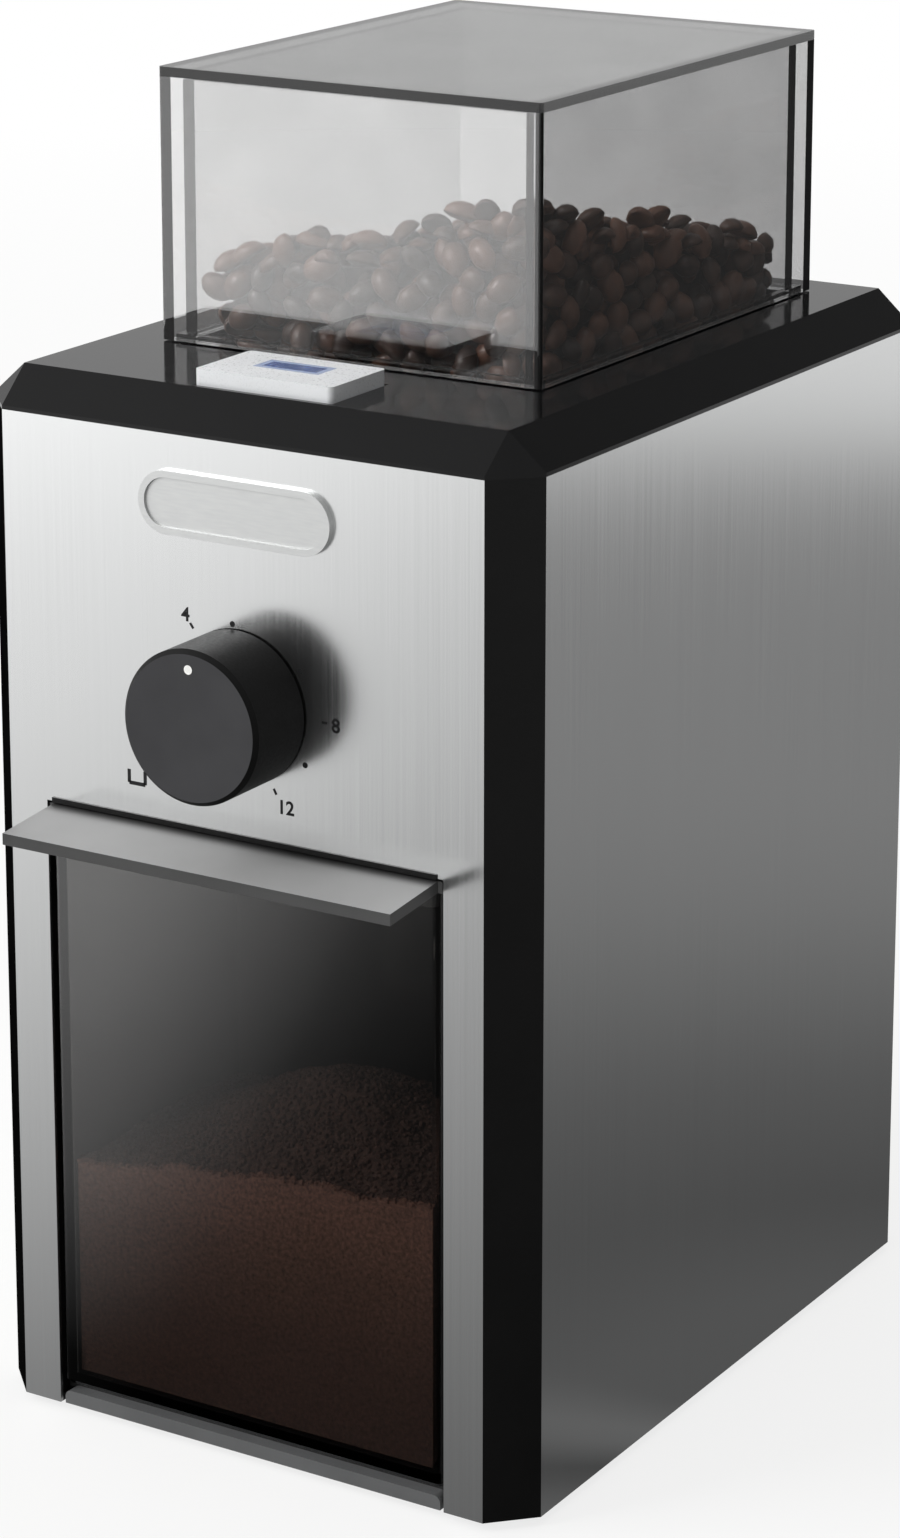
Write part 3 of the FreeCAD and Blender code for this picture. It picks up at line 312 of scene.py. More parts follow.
def groundCoffeeMaterial():
    # medium grind: matt dark crumbs with lighter chaff specks; the layer against the front wall is painted paler
    # towards its upper edge as painted light, and the heap behind it is painted darker as painted shade
    material, tree, shader = newMaterial("groundCoffee", {"IOR": 1.45, "Roughness": 0.9})
    crumbs = noisePattern(tree, grind["grainMm"], detail=4.0, roughness=0.7)
    low = openings["container_inside"][0]
    place = placeParts(tree)
    # painted light that grows with height up the front layer
    height = spread(tree, place["Z"], 0.0, 1.0, (low.z, low.z + grind["paintedLightHeightMm"] * mm))
    heightLight = addNode(tree, "ShaderNodeValToRGB", links={"Fac": height}, stops=greyStops(grind["paintedLightByHeight"]))
    # behind the front layer the coffee is painted darker: painted shade
    behind = addNode(tree, "ShaderNodeMath", {"operation": "GREATER_THAN"}, {1: low.y + grind["frontLayerMm"] * mm},
                     {0: place["Y"]})
    shade = addNode(tree, "ShaderNodeMix", colourMix, {"B": (grind["paintedShadeBehindFront"],) * 3 + (1.0,)},
                    {"Factor": behind.outputs["Value"], "A": heightLight.outputs["Color"]})
    colour = addNode(tree, "ShaderNodeMix", colourProduct, {"Factor": 1.0},
                     {"A": twoShades(tree, crumbs, *grind["colours"]), "B": shade.outputs["Result"]})
    linkLook(tree, shader, colour.outputs["Result"], crumbs, bumpMm=grind["bumpMm"])
    return material


inks = {"ink": {"name": "dialInkDarkGrey", "colours": ("#171718", "#212122")},
        "whiteInk": {"name": "indexInkWhite", "colours": ("#e9e9e6", "#f3f3f0")}}
inkCover = {"cloudMm": 0.8, "roughness": (0.45, 0.6)}


def inkMaterial(name, colours):
    # screen-printed ink: thin, matt, slightly uneven cover
    material, tree, shader = newMaterial(name, {"IOR": 1.5, "Specular IOR Level": 0.2})
    cover = noisePattern(tree, inkCover["cloudMm"])
    linkLook(tree, shader, twoShades(tree, cover, *colours), cover, inkCover["roughness"])
    return material


lens = {"name": "blueTintedPolycarbonate", "colours": ("#2b4a86", "#37589a"), "paintedGlowBorderColours": ("#9fb0d4", "#acbbdb"),
        "borderMm": 1.3, "roughness": (0.12, 0.2), "cloudMm": 4}


def borderedLensMaterial():
    # tinted polycarbonate window, smooth and blue, with a paler border painted on as the glow of its edge: painted
    # highlight
    material, tree, shader = newMaterial(lens["name"], {"IOR": 1.58})
    low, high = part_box("button_lens")
    clouds = noisePattern(tree, lens["cloudMm"])
    place = addNode(tree, "ShaderNodeTexCoord")
    fromCentre = addNode(tree, "ShaderNodeVectorMath", {"operation": "SUBTRACT"}, {1: (low + high) / 2},
                         {0: place.outputs["Object"]})
    away = addNode(tree, "ShaderNodeVectorMath", {"operation": "ABSOLUTE"}, links={0: fromCentre.outputs["Vector"]})
    border = Vector((lens["borderMm"], lens["borderMm"], 0)) * mm
    inner = addNode(tree, "ShaderNodeVectorMath", {"operation": "SUBTRACT"}, {1: (high - low) / 2 - border},
                    {0: away.outputs["Vector"]})
    split = addNode(tree, "ShaderNodeSeparateXYZ", links={"Vector": inner.outputs["Vector"]})
    outer = addNode(tree, "ShaderNodeMath", {"operation": "MAXIMUM"},
                    links={0: split.outputs["X"], 1: split.outputs["Y"]})
    atEdge = addNode(tree, "ShaderNodeMath", {"operation": "GREATER_THAN"}, {1: 0.0}, {0: outer.outputs["Value"]})
    # the border is painted paler: painted highlight of the lens edge
    colour = addNode(tree, "ShaderNodeMix", colourMix, links={
        "Factor": atEdge.outputs["Value"], "A": twoShades(tree, clouds, *lens["colours"]),
        "B": twoShades(tree, clouds, *lens["paintedGlowBorderColours"])})
    linkLook(tree, shader, colour.outputs["Result"], clouds, lens["roughness"])
    return material


# finishes of the model's own pieces go by the names of its material slots
finishes = {"steel_sheet": brushedSteelMaterial(), "button_blue": borderedLensMaterial(),
            "bean": roastedBeanMaterial(), "ground": groundCoffeeMaterial()}
for makeMaterial, looks in ((mouldedMaterial, mouldedPlastics), (machinedMetalMaterial, machinedMetals),
                            (mouldedClearMaterial, clearParts), (inkMaterial, inks)):
    finishes.update({key: makeMaterial(**look) for key, look in looks.items()})
nodeFinish = {item["node"]: item["material_slot"] for item in frame["record"]["subparts"]}
nodeFinish.update({"timer_knob": "knob", "container_bay": "liner", "grounds_container": "container",
                   "container_lid": "lid", "bean_hopper": "hopper"})
for nodeName, obj in nodes.items():
    obj.data.materials.clear()
    obj.data.materials.append(finishes[nodeFinish.get(nodeName, "black_plastic")])
print("finishes given to nodes:", len(nodeFinish))


def keptMesh(name, shape, outwards=True, smooth=False):
    # keeps a finished shape as a mesh with its faces turned outwards, which suits closed shapes
    if outwards:
        bmesh.ops.recalc_face_normals(shape, faces=shape.faces)
    mesh = bpy.data.meshes.new(name)
    shape.to_mesh(mesh)
    shape.free()
    mesh.polygons.foreach_set("use_smooth", [smooth] * len(mesh.polygons))
    return mesh


def linkedObject(name, data):  # a new object that is in the scene
    obj = bpy.data.objects.new(name, data)
    scene.collection.objects.link(obj)
    return obj


def meshObject(name, mesh, finish, body):
    obj = linkedObject(name, mesh)
    mesh.materials.clear()
    mesh.materials.append(finishes[finish])
    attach(obj, body)
    return obj


def evaluatedMesh(obj):
    # what an object looks like with its modifiers, as a plain mesh
    bpy.context.view_layer.update()
    return bpy.data.meshes.new_from_object(obj.evaluated_get(bpy.context.evaluated_depsgraph_get()))


def bridge(shape, first, second):
    # a band of faces between two rings of as many points
    for k in range(len(first)):
        n = (k + 1) % len(first)
        shape.faces.new((first[k], first[n], second[n], second[k]))


def tube(shape, rings):
    # closed tube through a row of rings
    for first, second in zip(rings, rings[1:]):
        bridge(shape, first, second)
    shape.faces.new(list(reversed(rings[0])))
    shape.faces.new(rings[-1])


def heapTop(spanX, spanY, countX, countY, heightAt):
    # lumpy sheet over a rectangle, and the ring of points round its edge
    shape = bmesh.new()
    xs = [spanX[0] + (spanX[1] - spanX[0]) * i / countX for i in range(countX + 1)]
    ys = [spanY[0] + (spanY[1] - spanY[0]) * j / countY for j in range(countY + 1)]
    top = [[shape.verts.new((x, y, heightAt(x, y))) for y in ys] for x in xs]
    for i in range(countX):
        for j in range(countY):
            shape.faces.new((top[i][j], top[i + 1][j], top[i + 1][j + 1], top[i][j + 1]))
    ring = [top[i][0] for i in range(countX)] + [top[countX][j] for j in range(countY)] \
        + [top[countX - i][countY] for i in range(countX)] + [top[0][countY - j] for j in range(countY)]
    return shape, ring


def newTree(name, inputs):
    # empty node tree with a geometry going in and out, and named inputs
    tree = bpy.data.node_groups.new(name, "GeometryNodeTree")
    for label, kind in [("Geometry", "Geometry")] + inputs + [("Thing", "Object"), ("Finish", "Material")]:
        tree.interface.new_socket(label, in_out="INPUT", socket_type="NodeSocket" + kind)
    tree.interface.new_socket("Geometry", in_out="OUTPUT", socket_type="NodeSocketGeometry")
    return tree, addNode(tree, "NodeGroupInput").outputs


def endTree(tree, copies, given):
    # real faces in the given finish
    real = addNode(tree, "GeometryNodeRealizeInstances", links={"Geometry": copies})
    finish = addNode(tree, "GeometryNodeSetMaterial", links={"Geometry": real.outputs["Geometry"],
                                                             "Material": given["Finish"]})
    addNode(tree, "NodeGroupOutput", links={"Geometry": finish.outputs["Geometry"]})


def runTree(name, skin, tree, thing, inputs, finish, body):
    # runs a node tree on a skin and keeps the result as a plain mesh on its body
    carrier = linkedObject(name + "Skin", skin)
    modifier = carrier.modifiers.new("nodes", "NODES")
    modifier.node_group = tree
    given = {**inputs, "Thing": thing, "Finish": finishes[finish]}
    for item in tree.interface.items_tree:
        if item.item_type == "SOCKET" and item.in_out == "INPUT" and item.name in given:
            modifier[item.identifier] = given[item.name]
    mesh = evaluatedMesh(carrier)
    mesh.name = name
    bpy.data.objects.remove(carrier)
    return meshObject(name, mesh, finish, body)


def keepInside(obj, low, high):
    # presses what would poke through a wall flat against it
    for v in obj.data.vertices:
        v.co = [min(max(value, least), most) for value, least, most in zip(v.co, low, high)]


beans = {"lengthMm": 7.6, "widthMm": 5.7, "roundnessMm": 5.375, "flatSide": 0.32, "creaseWidth": 0.2,
         "creaseDepth": 0.24, "creaseTaper": 1.4, "creaseFrom": -0.02, "spacingMm": 4.9, "perSquareMetre": 60000.0,
         "tiltDegrees": 26, "wallGapMm": 2.9, "coreGapMm": 7.1, "secondLayerMm": 3.6, "scaleRange": (0.88, 1.1),
         "seed": 7,
         "peakMm": 39, "peakPlace": (0.0365, -0.034), "fallLeft": 0.28, "fallBack": 0.24, "leastMm": 7.0,
         "lumpMm": 3.0, "lumpsPerMetre": 45, "lumpSlice": 0.3, "skinMarginMm": (1.0, 0.9), "skinCounts": (16, 20),
         "floorGapShare": 0.4, "neckHalfMm": 21.5, "neckDropMm": 2.0, "rimToWallMm": 3.7}


def beanTop(x, y, floorZ):
    # height of the heap: highest at the front right, falling to the left and the back
    peakX, peakY = beans["peakPlace"]
    slope = beans["peakMm"] - beans["fallLeft"] * (peakX - x) / mm - beans["fallBack"] * (y - peakY) / mm
    often = beans["lumpsPerMetre"]
    lumps = beans["lumpMm"] * noise.noise(Vector((x * often, y * often, beans["lumpSlice"])))
    return floorZ + max(beans["leastMm"], slope + lumps) * mm


def beanHeap(name, insetMm):
    # closed skin of the heap: lumpy top, upright sides, funnel below
    low, high = openings["bean_space"]
    gap = insetMm * mm
    marginX, marginY = (margin * mm for margin in beans["skinMarginMm"])
    x0, x1, y0, y1 = low.x - marginX + gap, high.x + marginX - gap, low.y - marginY + gap, high.y + marginY - gap
    shape, ring = heapTop((x0, x1), (y0, y1), *beans["skinCounts"], lambda x, y: beanTop(x, y, low.z) - gap)
    lower = [shape.verts.new((v.co.x, v.co.y, low.z + gap * beans["floorGapShare"])) for v in ring]
    neckLow, neckHigh = openings["bean_funnel"]
    centre, half = (neckLow + neckHigh) / 2, beans["neckHalfMm"] * mm
    neck = []
    for v in ring:
        across = (v.co.x - (x0 + x1) / 2) / ((x1 - x0) / 2)
        along = (v.co.y - (y0 + y1) / 2) / ((y1 - y0) / 2)
        neck.append(shape.verts.new((centre.x + across * half, centre.y + along * half,
                                     neckLow.z - beans["neckDropMm"] * mm + gap)))
    bridge(shape, ring, lower)
    bridge(shape, lower, neck)
    shape.faces.new(neck)
    return keptMesh(name, shape)


def beanMesh():
    # one roasted bean: an egg-shaped half with a flat face and its crease, in a few dozen faces
    shape = bmesh.new()
    bmesh.ops.create_uvsphere(shape, u_segments=10, v_segments=7, radius=0.5)
    crease = []
    for v in shape.verts:
        x, y, z = v.co.z, v.co.y, v.co.x  # poles at the ends of the long axis
        if z < 0:
            z *= beans["flatSide"]
        dent = max(0.0, 1 - abs(y) / beans["creaseWidth"]) if z < beans["creaseFrom"] else 0.0
        z += beans["creaseDepth"] * dent * (1 - abs(x) * beans["creaseTaper"])
        v.co = Vector((x * beans["lengthMm"], y * beans["widthMm"], z * beans["roundnessMm"])) * mm
        crease.append(dent)
    mesh = keptMesh("oneBean", shape, smooth=True)
    # how far into the crease a point lies, by which the groove is painted darker as painted shade
    mesh.attributes.new("beanCreaseShade", "FLOAT", "POINT").data.foreach_set("value", crease)
    return bpy.data.objects.new("oneBean", mesh)


def scatterTree(name, toneName):
    # puts copies of a small thing over a skin, lying along it with a random turn, tilt and size
    tree, given = newTree(name, [(label, "Float") for label in (
        "Spacing", "Density", "Tilt", "Smallest", "Largest", "Second layer")] + [("Seed", "Int")])
    layers = []
    for depth in (0, 1):  # the second layer lies deeper and has a seed of its own
        seed = addNode(tree, "ShaderNodeMath", {"operation": "ADD"}, {1: depth * 17.0}, {0: given["Seed"]})
        points = addNode(tree, "GeometryNodeDistributePointsOnFaces", {"distribute_method": "POISSON"}, links={
            "Mesh": given["Geometry"], "Distance Min": given["Spacing"], "Density Max": given["Density"],
            "Seed": seed.outputs["Value"]})
        shift = addNode(tree, "ShaderNodeMath", {"operation": "MULTIPLY"}, {1: -float(depth)},
                        {0: given["Second layer"]})
        inward = addNode(tree, "ShaderNodeVectorMath", {"operation": "SCALE"}, links={
            "Vector": points.outputs["Normal"], "Scale": shift.outputs["Value"]})
        moved = addNode(tree, "GeometryNodeSetPosition", links={
            "Geometry": points.outputs["Points"], "Offset": inward.outputs["Vector"]})
        tilt = addNode(tree, "ShaderNodeCombineXYZ", {}, {"Z": math.pi}, {"X": given["Tilt"], "Y": given["Tilt"]})
        untilt = addNode(tree, "ShaderNodeVectorMath", {"operation": "SCALE"}, {"Scale": -1.0},
                         {"Vector": tilt.outputs["Vector"]})
        turn = addNode(tree, "FunctionNodeRandomValue", {"data_type": "FLOAT_VECTOR"}, links={
            "Min": untilt.outputs["Vector"], "Max": tilt.outputs["Vector"], "Seed": seed.outputs["Value"]})
        turned = addNode(tree, "FunctionNodeRotateRotation", {"rotation_space": "LOCAL"}, links={
            "Rotation": points.outputs["Rotation"], "Rotate By": turn.outputs["Value"]})
        size = addNode(tree, "FunctionNodeRandomValue", {"data_type": "FLOAT"}, links={
            "Min": given["Smallest"], "Max": given["Largest"], "Seed": seed.outputs["Value"]})
        thing = addNode(tree, "GeometryNodeObjectInfo", links={"Object": given["Thing"]})
        copies = addNode(tree, "GeometryNodeInstanceOnPoints", links={
            "Points": moved.outputs["Geometry"], "Instance": thing.outputs["Geometry"],
            "Rotation": turned.outputs["Rotation"], "Scale": size.outputs[1]})
        layers.append(copies.outputs["Instances"])
    joined = addNode(tree, "GeometryNodeJoinGeometry")
    for layer in layers:
        tree.links.new(layer, joined.inputs["Geometry"])
    tone = addNode(tree, "FunctionNodeRandomValue", {"data_type": "FLOAT"}, links={"Seed": given["Seed"]})
    named = addNode(tree, "GeometryNodeStoreNamedAttribute", {"data_type": "FLOAT", "domain": "INSTANCE"},
                    {"Name": toneName}, {"Geometry": joined.outputs["Geometry"], "Value": tone.outputs[1]})
    endTree(tree, named.outputs["Geometry"], given)
    return tree


scatter = scatterTree("scatterOverSkin", "beanTone")
beanPile = runTree("roastedBeans", beanHeap("roastedBeansSkin", beans["wallGapMm"]), scatter, beanMesh(), {
    "Spacing": beans["spacingMm"] * mm, "Density": beans["perSquareMetre"], "Seed": beans["seed"],
    "Tilt": math.radians(beans["tiltDegrees"]), "Smallest": beans["scaleRange"][0],
    "Largest": beans["scaleRange"][1], "Second layer": beans["secondLayerMm"] * mm}, "bean", "hopper")
hopperLow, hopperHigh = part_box("bean_hopper")
rimToWall = Vector((beans["rimToWallMm"], beans["rimToWallMm"], 0)) * mm
keepInside(beanPile, hopperLow + rimToWall, hopperHigh - rimToWall)
meshObject("beanPileCore", beanHeap("beanPileCore", beans["coreGapMm"]), "bean", "hopper")
print("beans:", len(beanPile.data.polygons), "faces")


grounds = {"frontLeftMm": 46, "frontRightMm": 55.5, "heapMm": 15.5, "heapPlace": (0.002, -0.045),
           "heapSpread": (0.03, 0.022), "lumpMm": 1.6, "lumpsPerMetre": (90, 320), "bodyCounts": (90, 60),
           "crumbCounts": (40, 30), "crumbMm": 1.1, "crumbSpacingMm": 1.25, "perSquareMetre": 2500000.0,
           "crumbTurn": 3.0, "crumbRadii": (0.75, 1.25), "crumbSeed": 5, "scaleRange": (0.6, 1.3),
           "wallMarginMm": 0.7, "seed": 3}


def groundsTop(countX, countY):
    # level against the front wall that rises to the right, with a round heap behind it
    low, high = openings["container_inside"]
    heapX, heapY = grounds["heapPlace"]
    spreadX, spreadY = grounds["heapSpread"]
    coarse, fine = grounds["lumpsPerMetre"]

    def heightAt(x, y):
        across = (x - low.x) / (high.x - low.x)
        level = grounds["frontLeftMm"] + (grounds["frontRightMm"] - grounds["frontLeftMm"]) * across
        heap = grounds["heapMm"] * math.exp(-((x - heapX) / spreadX) ** 2 - ((y - heapY) / spreadY) ** 2)
        lumps = noise.noise(Vector((x, y, 0)) * coarse) + 0.5 * noise.noise(Vector((x, y, 0.1)) * fine)
        return low.z + (level + heap + grounds["lumpMm"] * lumps) * mm

    return heapTop((low.x, high.x), (low.y, high.y), countX, countY, heightAt)


def groundsBody():
    # the sheet with upright sides and a flat bottom
    shape, ring = groundsTop(*grounds["bodyCounts"])
    lower = [shape.verts.new((v.co.x, v.co.y, openings["container_inside"][0].z)) for v in ring]
    bridge(shape, ring, lower)
    shape.faces.new(lower)
    return keptMesh("groundCoffeeHeap", shape)


def crumb():
    # uneven grain in a few faces
    shape = bmesh.new()
    bmesh.ops.create_icosphere(shape, subdivisions=1, radius=grounds["crumbMm"] * mm / 2)
    picker = random.Random(grounds["crumbSeed"])
    least, most = grounds["crumbRadii"]
    for v in shape.verts:
        v.co *= least + (most - least) * picker.random()
    return bpy.data.objects.new("crumb", keptMesh("crumb", shape))


meshObject("groundCoffeeHeap", groundsBody(), "ground", "container")
crumbSkin = keptMesh("groundCoffeeCrumbsSkin", groundsTop(*grounds["crumbCounts"])[0])
crumbs = runTree("groundCoffeeCrumbs", crumbSkin, scatter, crumb(), {
    "Spacing": grounds["crumbSpacingMm"] * mm, "Density": grounds["perSquareMetre"], "Seed": grounds["seed"],
    "Tilt": grounds["crumbTurn"], "Smallest": grounds["scaleRange"][0], "Largest": grounds["scaleRange"][1],
    "Second layer": 0.0}, "ground", "container")
wallMargin = Vector((grounds["wallMarginMm"], grounds["wallMarginMm"], 0)) * mm  # the opening stops short of the walls
insideLow, insideHigh = openings["container_inside"]
keepInside(crumbs, insideLow - wallMargin, insideHigh + wallMargin)
print("ground coffee:", len(crumbs.data.polygons), "faces")


screws = {"radiusMm": 2.91, "heightMm": 1.5, "rimMm": 0.6, "domeDegrees": (20, 40, 60, 75),
          "recessMm": (3.4, 0.75, 0.9), "sides": 28,
          "places": [((x, y, 3.6), (0, 0, -1)) for x in (-53.5, 53.5) for y in (0.1, 65.5)]
          + [((x, 93.9, z), (0, 1, 0)) for x in (-51.5, 51.5) for z in (10, 204.5)]}


def circle(radius, count):
    return [(radius * math.cos(angle), radius * math.sin(angle))
            for angle in (2 * math.pi * k / count for k in range(count))]


def screwHead():
    # pan head with a cross recess, its seat at the origin and its top towards +Z
    radius, height, rim = (screws[size] * mm for size in ("radiusMm", "heightMm", "rimMm"))
    profile = [(radius, 0.0), (radius, rim)] + [(radius * math.cos(angle), rim + (height - rim) * math.sin(angle))
                                               for angle in map(math.radians, screws["domeDegrees"])]
    shape = bmesh.new()
    tube(shape, [[shape.verts.new((x, y, z)) for x, y in circle(r, screws["sides"])] for r, z in profile])
    head = linkedObject("screwHead", keptMesh("screwHead", shape))
    long, wide, deep = (size * mm for size in screws["recessMm"])
    cutters = []
    for sizeX, sizeY in ((long, wide), (wide, long)):
        cutter = bmesh.new()
        bmesh.ops.create_cube(cutter, size=1.0, matrix=Matrix.Translation((0, 0, height)) @ Matrix.Diagonal(
            (sizeX, sizeY, 2 * deep, 1)))
        cutters.append(linkedObject("recess", keptMesh("recess", cutter)))
        head.modifiers.new("recess", "BOOLEAN").object = cutters[-1]
    made = evaluatedMesh(head)
    for obj in cutters + [head]:
        bpy.data.objects.remove(obj)
    return bpy.data.objects.new("screwHead", made)


def placeTree(name):
    # puts a copy of a thing on every point, its +Z along the point's "facing" attribute
    tree, given = newTree(name, [])
    points = addNode(tree, "GeometryNodeMeshToPoints", links={"Mesh": given["Geometry"]})
    facingWay = addNode(tree, "GeometryNodeInputNamedAttribute", {"data_type": "FLOAT_VECTOR"}, {"Name": "facing"})
    turn = addNode(tree, "FunctionNodeAlignRotationToVector", {"axis": "Z"},
                   links={"Vector": facingWay.outputs["Attribute"]})
    thing = addNode(tree, "GeometryNodeObjectInfo", links={"Object": given["Thing"]})
    copies = addNode(tree, "GeometryNodeInstanceOnPoints", links={
        "Points": points.outputs["Points"], "Instance": thing.outputs["Geometry"],
        "Rotation": turn.outputs["Rotation"]})
    endTree(tree, copies.outputs["Instances"], given)
    return tree


seats = bmesh.new()
facingLayer = seats.verts.layers.float_vector.new("facing")
for seat, facingWay in screws["places"]:
    seats.verts.new(Vector(seat) * mm)[facingLayer] = Vector(facingWay)
runTree("caseScrews", keptMesh("caseScrewsSkin", seats), placeTree("screwsOnSeats"), screwHead(), {}, "zinc_steel",
        "housing")
print("screws placed:", len(screws["places"]))


spring = {"wireMm": 0.6, "turns": 3.0, "stepsPerTurn": 24, "wireSides": 8, "insetShare": 1.1}


def springCoil(low, high):
    # round wire on a helix whose first and last half turns lie flat
    wire = spring["wireMm"] * mm / 2
    radius = (high.x - low.x) / 2 - wire * spring["insetShare"]
    centre = (low + high) / 2
    bottom, rise = low.z + wire, high.z - low.z - 2 * wire
    total = spring["turns"] + 1
    count = int(total * spring["stepsPerTurn"])
    shape = bmesh.new()
    rings = []
    for i in range(count + 1):
        turn = total * i / count
        share = min(max((turn - 0.5) / spring["turns"], 0.0), 1.0)
        out = Vector((math.cos(2 * math.pi * turn), math.sin(2 * math.pi * turn), 0))
        middle = Vector((centre.x, centre.y, bottom + rise * share)) + out * radius
        rings.append([shape.verts.new(middle + out * across + Vector((0, 0, upwards)))
                      for across, upwards in circle(wire, spring["wireSides"])])
    tube(shape, rings)
    return keptMesh("buttonReturnSpring", shape, smooth=True)


springLow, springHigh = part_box("button_spring")
coil = meshObject("buttonReturnSpring", springCoil(springLow, springHigh), "zinc_steel", "button")
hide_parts("button_spring")
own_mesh(coil)
print("button spring coiled")


dialPrint = {"proudMm": 0.03, "dotMm": 0.6, "dotSides": 24, "figureMm": 2.8, "boldMm": 0.09, "heightOfType": 0.7,
             "figures": [("4", 21.0, 126), ("8", 22.9, -1), ("12", 22.1, -60)],
             "ticks": [(18.5, 126), (20.3, 0), (18.2, -62)], "tickMm": 1.3, "tickWidthMm": 0.55,
             "dots": [(16.8, 94), (17.5, 33), (18.3, -31)],
             "cup": (31.0, 217), "cupMm": (3.9, 2.8, 0.8)}
knobLow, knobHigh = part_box("timer_knob")
knobCentre = (knobLow + knobHigh) / 2
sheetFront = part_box("front_panel")[0].y


def flatShape(name, points, y, depth):
    # an outline in the front plane, this deep
    shape = bmesh.new()
    front = [shape.verts.new((x, y, z)) for x, z in points]
    back = [shape.verts.new((x, y + depth, z)) for x, z in points]
    tube(shape, [back, front])
    return keptMesh(name, shape)


def inkShape(name, points, surfaceY, proudMm):
    # a film of ink half as thick as it stands proud of its surface, so that the two don't flicker
    return flatShape(name, points, surfaceY - proudMm * mm, proudMm * mm * 0.5)


def barPoints(x, z, degrees, length, width):
    along = Vector((math.cos(math.radians(degrees)), math.sin(math.radians(degrees))))
    across = Vector((-along.y, along.x))
    return [(x + along.x * a + across.x * b, z + along.y * a + across.y * b)
            for a, b in ((-length / 2, -width / 2), (length / 2, -width / 2),
                         (length / 2, width / 2), (-length / 2, width / 2))]


def discPoints(x, z, radiusMm):
    return [(x + a, z + b) for a, b in circle(radiusMm * mm, dialPrint["dotSides"])]


def roundKnob(radiusMm, degrees):
    # place on the sheet at this distance and angle from the knob's axis
    angle = math.radians(degrees)
    return knobCentre.x + radiusMm * mm * math.cos(angle), knobCentre.z + radiusMm * mm * math.sin(angle)


def figureMesh(text):
    curve = bpy.data.curves.new("figure", "FONT")
    curve.body = text
    curve.size = dialPrint["figureMm"] * mm / dialPrint["heightOfType"]
    curve.offset = dialPrint["boldMm"] * mm
    curve.align_x = "CENTER"
    curve.align_y = "CENTER"
    holder = linkedObject("figure", curve)
    mesh = evaluatedMesh(holder)
    bpy.data.objects.remove(holder)
    return mesh


def dialMarks():
    # figures, ticks and dots round the knob, and the sign of a cup
    shape = bmesh.new()
    for text, radius, degrees in dialPrint["figures"]:
        mesh = figureMesh(text)
        x, z = roundKnob(radius, degrees)
        place = Matrix.Translation((x, sheetFront - dialPrint["proudMm"] * mm, z))
        mesh.transform(place @ Matrix.Rotation(math.pi / 2, 4, "X"))
        shape.from_mesh(mesh)
    outlines = [discPoints(*roundKnob(*place), dialPrint["dotMm"]) for place in dialPrint["dots"]]
    cupX, cupZ = roundKnob(*dialPrint["cup"])
    wide, tall, line = (size * mm for size in dialPrint["cupMm"])
    outlines.append(barPoints(cupX, cupZ - tall / 2, 0, wide, line))
    outlines += [barPoints(cupX + side, cupZ, 90, tall, line) for side in (-wide / 2, wide / 2)]
    outlines += [barPoints(*roundKnob(radius, degrees), degrees, dialPrint["tickMm"] * mm,
                           dialPrint["tickWidthMm"] * mm) for radius, degrees in dialPrint["ticks"]]
    for outline in outlines:
        shape.from_mesh(inkShape("mark", outline, sheetFront, dialPrint["proudMm"]))
    return keptMesh("dialMarks", shape, outwards=False)  # the figures are flat and face forwards already


meshObject("dialMarks", dialMarks(), "ink", "housing")

# a black strip over the container's lid that stands in for the shadow of the gap above it: painted shadow
shadowStrip = {"halfWidthMm": 46.0, "heightMm": 1.1, "proudMm": 0.3, "clearanceMm": 0.35}  # strip over the container's lid
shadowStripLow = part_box("container_lid")[1].z + shadowStrip["clearanceMm"] * mm
shadowStripX, shadowStripHigh = shadowStrip["halfWidthMm"] * mm, shadowStripLow + shadowStrip["heightMm"] * mm
shadowStripOutline = [(-shadowStripX, shadowStripLow), (shadowStripX, shadowStripLow), (shadowStripX, shadowStripHigh), (-shadowStripX, shadowStripHigh)]
meshObject("openingSeal", flatShape("openingSeal", shadowStripOutline, sheetFront - shadowStrip["proudMm"] * mm,
                                    shadowStrip["proudMm"] * mm), "black_plastic", "housing")

knobIndex = {"radiusShare": 0.75, "dotMm": 0.95, "proudMm": 0.04}
dotZ = knobCentre.z + knobIndex["radiusShare"] * (knobHigh.z - knobLow.z) / 2
meshObject("knobIndexDot", inkShape("knobIndexDot", discPoints(knobCentre.x, dotZ, knobIndex["dotMm"]),
                                    knobLow.y, knobIndex["proudMm"]), "whiteInk", "knob")
print("dial print made")


